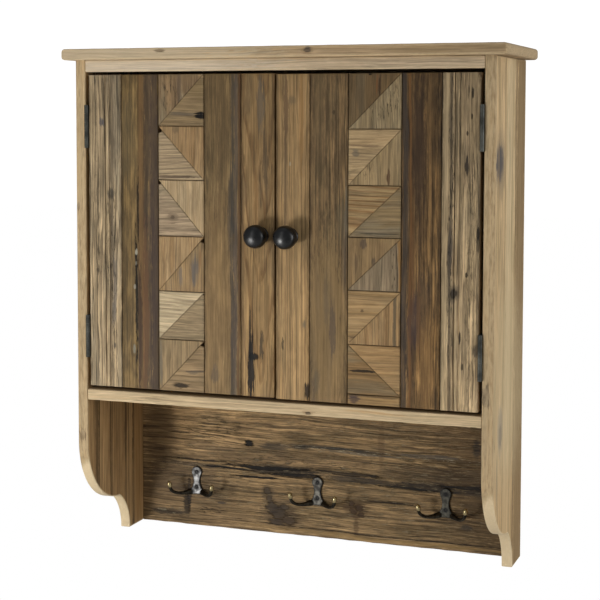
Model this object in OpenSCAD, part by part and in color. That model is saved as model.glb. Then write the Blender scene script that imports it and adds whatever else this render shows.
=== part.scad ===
// Hanging wall cabinet: two inset doors on butt hinges above an open bay with three coat hooks.
// X runs to the right, Y towards the wall and Z up. The wall is the plane Y = 0, and the origin is
// midway between the two hanging holes.

/* [Carcass] */
// Width across the two sides
body_width = 600; // [580:1:640]
// Depth from the wall to the front edges of the sides
body_depth = 186; // [176:1:210]
// Thickness of each side board
side_thickness = 15; // [14:0.5:18]
// Thickness of the top board
top_thickness = 15.5; // [14:0.5:20]
// How far the top board stands out past each side
top_overhang = 16.5; // [8:0.5:25]
// How far the top board stands out past the front
front_overhang = 12; // [6:0.5:20]
// Height of the narrow rail under the top board
rail_height = 16.5; // [14:0.5:24]
// Height of the door opening
opening_height = 447.5; // [444:0.5:500]
// Thickness of the shelf under the doors
shelf_thickness = 15.5; // [14:0.5:20]
// Height of the open bay from the shelf to the feet
bay_height = 218; // [215:1:240]

/* [Side outline] */
// Radius of the large round lobe below the shelf
lobe_radius = 101; // [90:1:104]
// Height of the foot below the lobe
foot_height = 57; // [50:1:62]
// Depth of each foot along the wall
foot_depth = 55; // [50:1:58]
// Radius of the hollow curve above the foot
hollow_radius = 65; // [62:1:70]

/* [Doors] */
// Gap between a door and the side board
side_gap = 5; // [5:0.1:6]
// Gap between the two doors
middle_gap = 2.4; // [2:0.1:4]
// Gap above each door
top_gap = 4; // [3:0.1:5]
// Gap under each door
bottom_gap = 5.5; // [4:0.1:6]
// How much lower the right door hangs
right_door_drop = 1; // [0:0.1:1.5]
// Thickness of the boards and tiles on a door
facing_thickness = 12; // [11:0.5:14]
// Thickness of the backing panel of a door
backing_thickness = 6; // [5:0.5:8]
// Gap between neighbouring boards and tiles
joint_gap = 0.6; // [0.4:0.1:1]
// Widths of the left door's facing from the hinge inwards, without the last board
left_widths = [50.7, 56.5, 68.7, 54.4];
// Widths of the right door's facing from the hinge inwards, without the last board
right_widths = [50.7, 53.6, 73.1, 53.5];
// Heights of the left tiles from the top, without the last tile
left_tile_heights = [71, 74, 77.5, 76.5, 67];
// Heights of the right tiles from the top, without the strip at the bottom
right_tile_heights = [73, 74, 68.5, 70.5, 72, 66.5];

/* [Hinges] */
// Height of each hinge
hinge_height = 60; // [50:1:70]
// From the end of the door opening to the middle of a hinge
hinge_inset = 76; // [60:1:100]
// Radius of a hinge barrel
barrel_radius = 2.9; // [2.6:0.1:2.9]
// Radius of a hinge pin
pin_radius = 1.4; // [1.2:0.1:1.5]

/* [Knobs and hooks] */
// Diameter of a knob's ball
knob_diameter = 32; // [28:1:36]
// From the middle of the cabinet to the middle of a knob
knob_inset = 21.2; // [20:0.1:26]
// Distance between the coat hooks
hook_spacing = 194; // [150:1:200]
// Sideways reach of a hook arm, from the middle of the hook to the middle of its tip
hook_reach = 34; // [30:1:36]

/* [Hanging] */
// Distance between the two hanging holes
hanging_spacing = 400; // [300:1:460]
// Radius of the round part of a hanging hole
hanging_hole_radius = 4.5; // [4:0.1:5]

/* [Hidden] */
$fn = 48;
eps = 0.01;
sides = [-1, 1];

inner_half = body_width / 2 - side_thickness;
hanging_rail_height = 60;
body_top = hanging_rail_height / 2;
opening_top = body_top - rail_height;
opening_bottom = opening_top - opening_height;
shelf_bottom = opening_bottom - shelf_thickness;
foot_bottom = shelf_bottom - bay_height;
lobe_bottom = foot_bottom + foot_height;
lobe_middle = lobe_bottom + lobe_radius;
top_corner_radius = 5;

rail_thickness = 18;
hanging_rail_thickness = 15;
back_thickness = 4;
hook_board_thickness = 9;
inner_shelf_thickness = 15;
inner_shelf_gap = 1.5;
inner_shelf_back_gap = 0.5;
inner_shelf_front_gap = 7.5;
inner_shelf_z = opening_bottom + opening_height / 2;
shelf_pin_radius = 2.5;
shelf_pin_bite = 8;
shelf_pin_reach = 9;
shelf_collar_radius = 4;
shelf_collar_thickness = 1.2;
dowel_radius = 3;
dowel_length = 24;
dowel_bite = 10;
dowel_insets = [40, 150];
hook_board_dowel_inset = 40;

door_thickness = facing_thickness + backing_thickness;
door_width = inner_half - side_gap - middle_gap / 2;
door_height = opening_height - top_gap - bottom_gap;
door_top = opening_top - top_gap;
inner_shelf_back = -back_thickness - inner_shelf_back_gap;
inner_shelf_front = -body_depth + door_thickness + inner_shelf_front_gap;
shelf_pin_inset = 25;
shelf_pin_ys = [inner_shelf_back - shelf_pin_inset, inner_shelf_front + shelf_pin_inset];

hinge_x = inner_half - side_gap / 2;
hinge_proud = 2;
hinge_y = -body_depth - hinge_proud;
hinge_zs = [opening_top - hinge_inset, opening_bottom + hinge_inset];
knuckles = 5;
knuckle_gap = 0.3;
leaf_thickness = 1.2;
leaf_start = 0.8;
leaf_end = hinge_proud + door_thickness - 2;
clear_radius = barrel_radius + 0.3;
pin_clearance = 0.05;
hinge_screw_spacing = 40;
hinge_screw_y = hinge_proud + 8;
hinge_screw_length = 11;

knob_z = door_top - 218;
knob_rose_radius = 12;
knob_rose_height = 2.5;
knob_neck_radius = 8.5;
knob_cove = 1;
knob_neck_length = 3;
knob_flattening = 3;
knob_front_curve = 1.6;
knob_screw_radius = 2;
knob_screw_depth = 10;
knob_screw_head_radius = 4;
knob_screw_head_height = 1.5;

catch_size = [36, 12, 15];
catch_x = 30;
catch_screw_inset = 4;
catch_screw_length = catch_size[2] + 9;
strike_thickness = 1;
strike_size = [30, strike_thickness, 8];
strike_height = 10.5;
strike_gap = 0.3;
strike_screw_length = 11;
catch_y = -body_depth + door_thickness + strike_thickness + strike_gap;
magnet_size = [20, 8, 6];

hook_z = shelf_bottom - 135.5;
hook_hole_spacing = 23;
hook_plate_thickness = 3;
hook_head_radius = 8.4;
hook_waist = 5.2;
hook_waist_cut = 22;
// The waist's curves run smoothly into the round head
hook_neck_overlap = 0.1;
hook_neck = hook_head_radius + hook_waist_cut - hook_neck_overlap;
hook_waist_y = -sqrt(pow(hook_neck, 2) - pow(hook_waist + hook_waist_cut, 2));
hook_shoulder_y = hook_waist_y * hook_head_radius / hook_neck;
hook_base_half = 12.5;
hook_length = 43.8;
hook_arm_radius = 2.4;
hook_bend_radius = 13;
hook_tip_radius = 3.4;
hook_tip_rise = 3.4;
hook_arm_start = 9;
hook_arm_angle = 42;
hook_arm_lift = 1;
hook_screw_length = 11;

hanger_size = [18, 1.5, 50];
hanger_slot_half = 2.25;
hanger_slot_length = 11;
hanger_screw_z = 20.5;
hanger_screw_length = 13;
hanger_corner = 4;
// The hollow behind each hanger that takes a screw's head
head_pocket = [12, 9, 22];
head_pocket_z = 5;

left_tiles = len(left_tile_heights) + 1;
right_tiles = len(right_tile_heights) + 1;
board_names = ["outer_board", "dark_board", "streaked_board", "inner_board"];
hook_names = ["left_hook", "middle_hook", "right_hook"];
// Diagonals of the tiles from the top: 1 rises to the right, -1 falls to the right
left_diagonals = [1, -1, -1, 1, 1, 1];
right_diagonals = [1, 1, 1, 1, 1, -1];

// ---- Shared shapes ----

// A box given by its lowest and highest corners
module span(low, high) {
    translate(low) cube(high - low);
}

// A rectangle with four round corners, in the XY plane
module rounded_rectangle(size, radius) {
    translate([radius, 0]) square([size[0] - 2 * radius, size[1]]);
    translate([0, radius]) square([size[0], size[1] - 2 * radius]);
    for (x = [radius, size[0] - radius], y = [radius, size[1] - radius])
        translate([x, y]) circle(radius);
}

// A countersunk wood screw that points along +Z from its head's flat face at the origin
module wood_screw(length, shank_radius = 1.4, head_radius = 2.7) {
    head_height = head_radius - shank_radius;
    point_length = 2;
    point_radius = 0.3;
    cylinder(h = head_height, r1 = head_radius, r2 = shank_radius);
    translate([0, 0, head_height - eps])
        cylinder(h = length - head_height - point_length + 2 * eps, r = shank_radius);
    translate([0, 0, length - point_length])
        cylinder(h = point_length, r1 = shank_radius, r2 = point_radius);
}

module dowel() {
    cylinder(h = dowel_length, r = dowel_radius, center = true);
}

// ---- Carcass ----

module top_board() {
    width = body_width + 2 * top_overhang;
    color("#bda27c") difference() {
        translate([-width / 2, 0, body_top])
            rotate([90, 0, 0])
                linear_extrude(body_depth + front_overhang)
                    rounded_rectangle([width, top_thickness], top_corner_radius);
        frame_dowels();
    }
}

module top_rail() {
    color("#b99e78") difference() {
        span([-inner_half, -body_depth, opening_top],
             [inner_half, -body_depth + rail_thickness, body_top]);
        frame_dowels();
    }
}

// The outline of a side: X is the distance from the front edge, Y is the height
module side_outline() {
    hollow_middle = body_depth - foot_depth - hollow_radius;
    cusp = hollow_middle + sqrt(pow(hollow_radius, 2) - pow(foot_height, 2));
    overlap = 1;
    translate([0, lobe_middle]) square([body_depth, body_top - lobe_middle]);
    translate([lobe_radius, lobe_bottom])
        square([body_depth - lobe_radius, lobe_radius + overlap]);
    intersection() {
        translate([lobe_radius, lobe_middle]) circle(lobe_radius, $fn = 96);
        translate([0, lobe_bottom]) square(lobe_radius + overlap);
    }
    difference() {
        translate([cusp, foot_bottom]) square([body_depth - cusp, foot_height + overlap]);
        translate([hollow_middle, foot_bottom]) circle(hollow_radius, $fn = 96);
    }
}

module side(s) {
    outer = s * body_width / 2;
    color("#b3966d") difference() {
        translate([min(outer, outer - s * side_thickness), 0, 0])
            translate([0, -body_depth, 0])
                rotate([90, 0, 90])
                    linear_extrude(side_thickness) side_outline();
        frame_dowels();
        shelf_pins();
        for (z = hinge_zs) hinge_at(s, z) leaf_screws(-1);
    }
}

module bottom_shelf() {
    color("#bfa47e") difference() {
        span([-inner_half, -body_depth, shelf_bottom], [inner_half, 0, opening_bottom]);
        frame_dowels();
        catch_screws();
    }
}

module back_panel() {
    color("#8d7350")
        span([-inner_half, -back_thickness, opening_bottom],
             [inner_half, 0, body_top - hanging_rail_height]);
}

module hanging_rail() {
    color("#b3966d") difference() {
        span([-inner_half, -hanging_rail_thickness, body_top - hanging_rail_height],
             [inner_half, 0, body_top]);
        for (s = sides) translate([s * hanging_spacing / 2, 0, 0]) {
            hanger_blank();
            translate([0, -head_pocket[1] / 2, head_pocket_z]) cube(head_pocket, center = true);
        }
        hanger_screws();
        frame_dowels();
    }
}

module hook_board() {
    color("#735a3f") difference() {
        span([-inner_half, -hook_board_thickness, foot_bottom], [inner_half, 0, shelf_bottom]);
        hook_screws();
        frame_dowels();
    }
}

// Dowels of the top board, the shelf, the two rails and the hook board
module frame_dowels() {
    offset = dowel_bite - dowel_length / 2;
    rail_middle = [-body_depth + rail_thickness / 2, body_top - rail_height / 2];
    across = concat(
        [for (y = dowel_insets) [-y, opening_bottom - shelf_thickness / 2]],
        [rail_middle, [-hanging_rail_thickness / 2, hanging_rail_height / 4]],
        [for (z = [shelf_bottom - hook_board_dowel_inset, foot_bottom + hook_board_dowel_inset])
            [-hook_board_thickness / 2, z]]
    );
    color("#c9b083") for (s = sides) {
        for (y = dowel_insets)
            translate([s * (inner_half + side_thickness / 2), -y, body_top + offset]) dowel();
        for (place = across)
            translate([s * (inner_half + offset), place[0], place[1]]) rotate([0, 90, 0]) dowel();
    }
}

// ---- Inner shelf ----

module inner_shelf() {
    half = inner_half - inner_shelf_gap;
    color("#a98c62")
        span([-half, inner_shelf_front, inner_shelf_z],
             [half, inner_shelf_back, inner_shelf_z + inner_shelf_thickness]);
}

module shelf_pins() {
    color("#9a9a98") for (s = sides, y = shelf_pin_ys)
        translate([s * inner_half, y, inner_shelf_z - shelf_pin_radius])
            rotate([0, -s * 90, 0]) {
                translate([0, 0, -shelf_pin_bite])
                    cylinder(h = shelf_pin_bite + shelf_pin_reach, r = shelf_pin_radius);
                cylinder(h = shelf_collar_thickness, r = shelf_collar_radius);
            }
}

// ---- Hanging hardware ----

// The outer shape of a hanger plate, let flush into the back of the rail
module hanger_blank() {
    translate([-hanger_size[0] / 2, 0, -hanger_size[2] / 2])
        rotate([90, 0, 0])
            linear_extrude(hanger_size[1])
                rounded_rectangle([hanger_size[0], hanger_size[2]], hanger_corner);
}

// The round hole that a screw head enters, with the narrow slot above it for the screw's neck
module keyhole(depth) {
    cylinder(h = depth, r = hanging_hole_radius);
    translate([0, hanger_slot_length, 0]) cylinder(h = depth, r = hanger_slot_half);
    translate([-hanger_slot_half, 0, 0]) cube([2 * hanger_slot_half, hanger_slot_length, depth]);
}

module hangers() {
    color("#b9bcbc") for (s = sides) translate([s * hanging_spacing / 2, 0, 0]) difference() {
        hanger_blank();
        translate([0, 1, 0]) rotate([90, 0, 0]) keyhole(hanger_size[1] + 2);
        hanger_screw_pair();
    }
}

module hanger_screw_pair() {
    for (t = sides) translate([0, 0, t * hanger_screw_z])
        rotate([90, 0, 0]) wood_screw(hanger_screw_length);
}

module hanger_screws() {
    color("#a5a8a8") for (s = sides)
        translate([s * hanging_spacing / 2, 0, 0]) hanger_screw_pair();
}

// ---- Hinges ----

// Places its children at a hinge's axis: +X then points from the side board to the door
module hinge_at(s, z) {
    translate([s * hinge_x, hinge_y, z]) mirror([s > 0 ? 1 : 0, 0, 0]) children();
}

module knuckle(i, radius) {
    pitch = hinge_height / knuckles;
    translate([0, 0, -hinge_height / 2 + i * pitch + knuckle_gap / 2])
        cylinder(h = pitch - knuckle_gap, r = radius);
}

// One leaf on its knuckles: t is -1 for the leaf on the side board and 1 for the leaf on the door
module leaf(t) {
    first = t < 0 ? 0 : 1;
    outer = side_gap / 2;
    low = min(t * outer, t * (outer - leaf_thickness));
    pitch = hinge_height / knuckles;
    difference() {
        union() {
            span([low, leaf_start, -hinge_height / 2],
                 [low + leaf_thickness, leaf_end, hinge_height / 2]);
            for (i = [first:2:knuckles - 1]) knuckle(i, barrel_radius);
        }
        for (i = [1 - first:2:knuckles - 1])
            translate([0, 0, -hinge_height / 2 + i * pitch - knuckle_gap / 2])
                cylinder(h = pitch + knuckle_gap, r = clear_radius);
        cylinder(h = hinge_height + 2, r = pin_radius + (t < 0 ? 0 : pin_clearance), center = true);
        leaf_screws(t);
    }
}

module leaf_screws(t) {
    for (z = [-hinge_screw_spacing / 2, hinge_screw_spacing / 2])
        translate([t * (side_gap / 2 - leaf_thickness), hinge_screw_y, z])
            rotate([0, t * 90, 0]) wood_screw(hinge_screw_length);
}

module frame_leaves(s) {
    color("#4d4f4d") for (z = hinge_zs) hinge_at(s, z) leaf(-1);
}

module door_leaves(s) {
    color("#565856") for (z = hinge_zs) hinge_at(s, z) leaf(1);
}

module frame_leaf_screws() {
    color("#6b6c6a") for (s = sides, z = hinge_zs) hinge_at(s, z) leaf_screws(-1);
}

module door_leaf_screws(s) {
    color("#6b6c6a") for (z = hinge_zs) hinge_at(s, z) leaf_screws(1);
}

module hinge_pins() {
    color("#3f4140") for (s = sides, z = hinge_zs)
        hinge_at(s, z) cylinder(h = hinge_height, r = pin_radius, center = true);
}

// ---- Doors ----

function door_z(s) = door_top - (s > 0 ? right_door_drop : 0);

function widths(s) = s < 0 ? left_widths : right_widths;

function total(list, count) = count == 0 ? 0 : list[count - 1] + total(list, count - 1);

// Where the i-th piece of the facing starts, as a distance from the hinge edge of the door
function seam(s, i) = i > len(widths(s)) ? door_width : total(widths(s), i);

// Places its children at the top front corner of a door by its hinge: +X points to the other door
module door_at(s) {
    translate([s * (inner_half - side_gap), -body_depth, door_z(s)])
        mirror([s > 0 ? 1 : 0, 0, 0]) children();
}

module backing(s) {
    color("#9c7f57") difference() {
        door_at(s) span([0, facing_thickness, -door_height], [door_width, door_thickness, 0]);
        knob_screw(s);
        strike_screw(s);
    }
}

// A facing board: index 0 to 4 from the hinge, where 2 is the column of tiles
module board(s, index, tint) {
    color(tint) difference() {
        door_at(s)
            span([seam(s, index) + (index == 0 ? 0 : joint_gap / 2), 0, -door_height],
                 [seam(s, index + 1) - (index == 4 ? 0 : joint_gap / 2), facing_thickness, 0]);
        if (index == 0) door_leaf_screws(s);
        if (index == 4) knob_screw(s);
        if (index == 4) strike_screw(s);
    }
}

function tile_heights(s) = s < 0 ? left_tile_heights : right_tile_heights;

// Depth of the top edge of the i-th tile below the top of the door, with i from 1
function tile_edge(s, i) =
    i > len(tile_heights(s)) + 1 ? door_height : total(tile_heights(s), i - 1);

// A tile of two triangles that meet on a diagonal, or one plain strip where there is no diagonal
module tile(s, i) {
    diagonals = s < 0 ? left_diagonals : right_diagonals;
    x0 = seam(s, 2) + joint_gap / 2;
    x1 = seam(s, 3) - joint_gap / 2;
    z0 = -tile_edge(s, i) - (i == 1 ? 0 : joint_gap / 2);
    z1 = -tile_edge(s, i + 1) + (i > len(tile_heights(s)) ? 0 : joint_gap / 2);
    color("#b8965f") door_at(s) difference() {
        span([x0, 0, z1], [x1, facing_thickness, z0]);
        if (i <= len(diagonals)) {
            rising = diagonals[i - 1] * -s > 0;
            tile_joint([x0, rising ? z1 : z0], [x1, rising ? z0 : z1]);
        }
    }
}

// The saw cut along a tile's diagonal, from one corner to the other
module tile_joint(from, to) {
    run = to - from;
    length = norm(run) + 20;
    translate([from[0] + run[0] / 2, facing_thickness / 2, from[1] + run[1] / 2])
        rotate([0, -atan2(run[1], run[0]), 0])
            cube([length, facing_thickness + 2, joint_gap / 2], center = true);
}

module knob_at(s) {
    translate([s * knob_inset, -body_depth, knob_z]) children();
}

// A knob with its rose, neck and flattened ball, turned about the axis of its screw
module knob(s) {
    radius = knob_diameter / 2;
    ball_middle = radius + knob_neck_length;
    front = ball_middle + radius - knob_flattening;
    front_radius = knob_front_curve * radius;
    color("#1d1e20") difference() {
        knob_at(s) rotate([90, 0, 0]) {
            cylinder(h = knob_rose_height, r = knob_rose_radius);
            translate([0, 0, knob_rose_height - eps])
                cylinder(h = knob_rose_height, r1 = knob_rose_radius, r2 = knob_neck_radius + knob_cove);
            cylinder(h = ball_middle, r = knob_neck_radius);
            intersection() {
                translate([0, 0, ball_middle]) sphere(radius);
                translate([0, 0, front - front_radius]) sphere(front_radius);
            }
        }
        knob_screw(s);
    }
}

module knob_screw(s) {
    color("#8b8d8c") knob_at(s) rotate([90, 0, 0]) {
        translate([0, 0, -door_thickness - knob_screw_head_height])
            cylinder(h = knob_screw_head_height, r = knob_screw_head_radius);
        translate([0, 0, -door_thickness - eps])
            cylinder(h = door_thickness + knob_screw_depth, r = knob_screw_radius);
    }
}

// ---- Catches ----

module strike_at(s) {
    translate([s * catch_x, -body_depth + door_thickness, opening_bottom + strike_height])
        children();
}

module strike(s) {
    color("#a9abab") difference() {
        strike_at(s) translate([0, strike_thickness / 2, 0]) cube(strike_size, center = true);
        strike_screw(s);
    }
}

module strike_screw(s) {
    color("#8b8d8c") strike_at(s) translate([0, strike_thickness, 0])
        rotate([90, 0, 0]) wood_screw(strike_screw_length);
}

module catch_at(s) {
    translate([s * catch_x, catch_y, opening_bottom]) children();
}

module catch(s) {
    color("#7a5230") difference() {
        catch_at(s) translate([-catch_size[0] / 2, 0, 0]) cube(catch_size);
        catch_magnet(s);
        catch_screws();
    }
}

module catch_magnet(s) {
    catch_at(s) translate([-magnet_size[0] / 2, 0, strike_height - magnet_size[2] / 2])
        cube(magnet_size);
}

module catch_magnets() {
    color("#303234") for (s = sides) catch_magnet(s);
}

module catch_screws() {
    color("#8b8d8c") for (s = sides, t = sides)
        catch_at(s) translate([t * (catch_size[0] / 2 - catch_screw_inset), catch_size[1] / 2,
                               catch_size[2]])
            mirror([0, 0, 1]) wood_screw(catch_screw_length);
}

// ---- Coat hooks ----

// The plate's outline, with its upper hole at the origin
module hook_plate_outline() {
    foot_y = hook_head_radius - hook_length;
    circle(hook_head_radius);
    difference() {
        translate([-hook_base_half, foot_y]) square([2 * hook_base_half, hook_shoulder_y - foot_y]);
        for (s = sides) translate([s * (hook_waist + hook_waist_cut), hook_waist_y])
            circle(hook_waist_cut);
    }
}

// A round arm that runs sideways and forwards from the plate's foot, then bends up to a rounded tip
module hook_arm() {
    straight = (hook_reach - hook_arm_start) / cos(hook_arm_angle) - hook_bend_radius;
    rotate([0, 0, -hook_arm_angle]) {
        rotate([0, 90, 0]) cylinder(h = straight, r = hook_arm_radius);
        sphere(hook_arm_radius);
        translate([straight, 0, hook_bend_radius]) rotate([90, 0, 0])
            rotate([0, 0, -90])
                rotate_extrude(angle = 90) translate([hook_bend_radius, 0]) circle(hook_arm_radius);
        translate([straight + hook_bend_radius, 0, hook_bend_radius]) {
            sphere(hook_tip_radius);
            cylinder(h = hook_tip_rise, r = hook_tip_radius);
            translate([0, 0, hook_tip_rise]) sphere(hook_tip_radius);
        }
    }
}

module hook(x) {
    arm_z = hook_head_radius - hook_length + hook_arm_radius + hook_arm_lift;
    color("#6f6d68") translate([x, -hook_board_thickness, hook_z]) difference() {
        union() {
            rotate([90, 0, 0]) linear_extrude(hook_plate_thickness) hook_plate_outline();
            for (s = sides) mirror([s < 0 ? 1 : 0, 0, 0])
                translate([hook_arm_start, -hook_arm_radius, arm_z]) hook_arm();
        }
        hook_screw_pair();
    }
}

module hook_screw_pair() {
    for (z = [0, -hook_hole_spacing])
        translate([0, -hook_plate_thickness, z]) rotate([-90, 0, 0])
            wood_screw(hook_screw_length, 1.5, 3);
}

module hook_screws() {
    color("#4a4844") for (i = [-1:1])
        translate([i * hook_spacing, -hook_board_thickness, hook_z]) hook_screw_pair();
}

// ---- Nodes ----

top_board();
top_rail();
side(-1);  // left_side
side(1);  // right_side
bottom_shelf();
inner_shelf();
shelf_pins();
back_panel();
hanging_rail();
hook_board();
frame_dowels();
hangers();
hanger_screws();
for (i = [0:2]) hook((i - 1) * hook_spacing);
hook_screws();
catch(-1);  // left_catch
catch(1);  // right_catch
catch_magnets();
catch_screws();
frame_leaves(-1);  // left_frame_leaves
frame_leaves(1);  // right_frame_leaves
frame_leaf_screws();
hinge_pins();
for (s = sides) {
    hand = s < 0 ? "left_" : "right_";
    backing(s);
    board(s, 0, "#b39f7c");
    board(s, 1, "#6f5a3e");
    board(s, 3, "#7c6647");
    board(s, 4, "#a98a5c");
    for (i = [1:s < 0 ? left_tiles : right_tiles])
        tile(s, i);
    knob(s);
    knob_screw(s);
    door_leaves(s);
    door_leaf_screws(s);
    strike(s);
    strike_screw(s);
}
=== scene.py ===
"""The looks of the hanging wall cabinet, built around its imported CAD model.

Places come from the frame's boxes. Shapes and grain are worked out in millimetres in the row
frame: X to the right, Y towards the wall, Z up.
"""

import math

import bmesh
import bpy
from mathutils import Matrix, Vector, noise


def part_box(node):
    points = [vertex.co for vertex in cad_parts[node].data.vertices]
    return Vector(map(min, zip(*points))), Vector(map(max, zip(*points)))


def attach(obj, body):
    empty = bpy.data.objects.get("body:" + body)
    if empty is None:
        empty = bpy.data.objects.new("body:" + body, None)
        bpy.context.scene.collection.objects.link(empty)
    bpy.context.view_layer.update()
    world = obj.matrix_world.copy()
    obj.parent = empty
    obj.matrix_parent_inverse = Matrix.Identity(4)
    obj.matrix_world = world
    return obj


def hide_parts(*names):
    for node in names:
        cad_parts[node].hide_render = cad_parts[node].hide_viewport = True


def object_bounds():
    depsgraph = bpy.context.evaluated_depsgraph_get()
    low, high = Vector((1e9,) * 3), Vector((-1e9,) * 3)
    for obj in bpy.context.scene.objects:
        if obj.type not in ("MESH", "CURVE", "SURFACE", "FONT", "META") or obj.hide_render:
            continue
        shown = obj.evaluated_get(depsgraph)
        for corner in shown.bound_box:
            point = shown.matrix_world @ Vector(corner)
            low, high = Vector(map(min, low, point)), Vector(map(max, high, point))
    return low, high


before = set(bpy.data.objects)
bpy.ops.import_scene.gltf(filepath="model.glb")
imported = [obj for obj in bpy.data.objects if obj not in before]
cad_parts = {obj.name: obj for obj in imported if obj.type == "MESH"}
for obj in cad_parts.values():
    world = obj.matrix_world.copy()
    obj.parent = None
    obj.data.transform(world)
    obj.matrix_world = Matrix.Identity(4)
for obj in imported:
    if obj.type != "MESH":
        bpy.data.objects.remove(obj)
cad_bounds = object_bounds()

MM = 0.001
LONG = 10000.0  # more than the size of any board: marks of this size run along or through all of it
# This reach also bounds the painted shade in the joints of the door boards.
WEAR_REACH = 3.0  # how far the wear and the dirt reach from an edge

# Each grain is (along the fibres, across them on the visible face, into the board)
DOWN = (Vector((0, 0, -1)), Vector((1, 0, 0)), Vector((0, 1, 0)))
ALONG_X = (Vector((1, 0, 0)), Vector((0, 0, -1)), Vector((0, 1, 0)))
SIDE = (Vector((0, 0, -1)), Vector((0, 1, 0)), Vector((1, 0, 0)))


def box_mm(node):
    """A CAD node's lowest and highest corners in millimetres."""
    low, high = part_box(node)
    return low / MM, high / MM


def top_front(node):
    """The corner of a CAD node at its left, front and top, where the grain and the marks start."""
    low, high = box_mm(node)
    return Vector((low.x, low.y, high.z))


def linear(text):
    """The linear colour of an sRGB hex colour."""
    parts = [int(text[i:i + 2], 16) / 255 for i in (0, 2, 4)]
    return [p / 12.92 if p <= 0.04045 else ((p + 0.055) / 1.055) ** 2.4 for p in parts] + [1.0]


# ---- Materials ----

class Surface:
    """A material in the making, with short calls that add its nodes."""

    def __init__(self, name):
        self.material = bpy.data.materials.new(name)
        self.material.use_nodes = True
        self.tree = self.material.node_tree
        self.shader = self.tree.nodes["Principled BSDF"]

    def plug(self, socket, value):
        """Links a node's output to the socket, or sets the socket to a plain value."""
        if isinstance(value, bpy.types.NodeSocket):
            self.tree.links.new(value, socket)
        else:
            socket.default_value = value

    def node(self, kind, values, **settings):
        """Adds a node. values says what goes to which input, by its name or number."""
        made = self.tree.nodes.new(kind)
        for key, value in settings.items():
            setattr(made, key, value)
        for key, value in values.items():
            self.plug(made.inputs[key], value)
        return made

    def math(self, operation, *values):
        return self.node("ShaderNodeMath", dict(enumerate(values)), operation=operation).outputs[0]

    def vector(self, operation, *values):
        made = self.node("ShaderNodeVectorMath", dict(enumerate(values)), operation=operation)
        return made.outputs[1 if operation in ("LENGTH", "DOT_PRODUCT") else 0]

    def scaled(self, vector, factor):
        made = self.node("ShaderNodeVectorMath", {"Vector": vector, "Scale": factor}, operation="SCALE")
        return made.outputs[0]

    def fade(self, value, start, end, low=0.0, high=1.0):
        """Goes smoothly from low, where the value is start, to high, where it is end."""
        values = dict(enumerate((value, start, end, low, high)))
        return self.node("ShaderNodeMapRange", values, interpolation_type="SMOOTHSTEP").outputs[0]

    def mix(self, amount, first, second):
        made = self.node("ShaderNodeMix", {}, data_type="RGBA")
        for number, value in zip((0, 6, 7), (amount, first, second)):
            self.plug(made.inputs[number], value)
        return made.outputs[2]

    def ramp(self, value, stops):
        """A grey level that follows stops of (position, level)."""
        made = self.node("ShaderNodeValToRGB", {0: value})
        elements = made.color_ramp.elements
        while len(elements) < len(stops):
            elements.new(1.0)
        for element, (position, level) in zip(elements, stops):
            element.position = position
            element.color = (level, level, level, 1.0)
        return made.outputs[0]

    def noise(self, place, sizes, seed, detail=2.0, roughness=0.5, output="Fac"):
        """Noise round 0.5 whose lumps have the given sizes in millimetres along each axis."""
        shift = (seed * 17.3, seed * 5.7, seed * 11.9)
        where = self.vector("MULTIPLY_ADD", place, [1 / size for size in sizes], shift)
        values = {"Vector": where, "Scale": 1.0, "Detail": detail, "Roughness": roughness}
        return self.node("ShaderNodeTexNoise", values).outputs[output]

    def wear(self):
        """The mesh attribute that is 1 on the eased edges and 0 elsewhere: it places the wear, and the
        painted shade in the joints and on the hook plates' rims.
        """
        return self.node("ShaderNodeAttribute", {}, attribute_name="wear").outputs["Fac"]

    def place(self, start, grain):
        """Where a point is, in millimetres along the grain's three axes from the start."""
        position = self.node("ShaderNodeTexCoord", {}).outputs["Object"]
        away = self.vector("SUBTRACT", position, start * MM)
        parts = [self.vector("DOT_PRODUCT", away, axis / MM) for axis in grain]
        return self.node("ShaderNodeCombineXYZ", dict(enumerate(parts))).outputs[0]

    def bump(self, height, depth, strength=1.0):
        """Relief with the given depth in millimetres where the height goes from 0 to 1."""
        values = {"Strength": strength, "Distance": depth * MM, "Height": height}
        self.plug(self.shader.inputs["Normal"], self.node("ShaderNodeBump", values).outputs[0])

    def set(self, **values):
        """Plugs values into the shader's inputs and gives back the finished material."""
        for name, value in values.items():
            self.plug(self.shader.inputs[name.replace("_", " ")], value)
        return self.material


# Marks on a board. along and across are the place of the middle in millimetres from the corner where
# the grain starts, half_along and half_across are half the size, and amount is the strength.

def band(across, half, colour, amount):
    """A streak along the whole board."""
    return ("soft", 0, across, LONG, half, colour, amount)


def spot(along, across, half_along, half_across, colour, amount):
    """A stain or a knot whose border is torn along the grain. In a few places it is painted shade or a
    painted highlight instead.
    """
    return ("soft", along, across, half_along, half_across, colour, amount)


def wash(along, across, half_along, half_across, colour, amount):
    """A large area of another shade with a clear border."""
    return ("wash", along, across, half_along, half_across, colour, amount)


def crack(along, across, half_along, half_across, amount=0.97, colour="060403"):
    """A dark hollow with a sharp and torn border."""
    return ("hard", along, across, half_along, half_across, colour, amount)


def flecks(along, across, half_along, half_across, amount=0.8, colour="2b251f"):
    """A region with short dark pits in it."""
    return ("flecks", along, across, half_along, half_across, colour, amount)


# Darkness across one growth ring, from the start of its spring wood to its summer wood
RING = ((0.0, 0.1), (0.3, 0.0), (0.68, 0.3), (0.86, 1.0), (0.95, 0.9), (1.0, 0.1))

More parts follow.
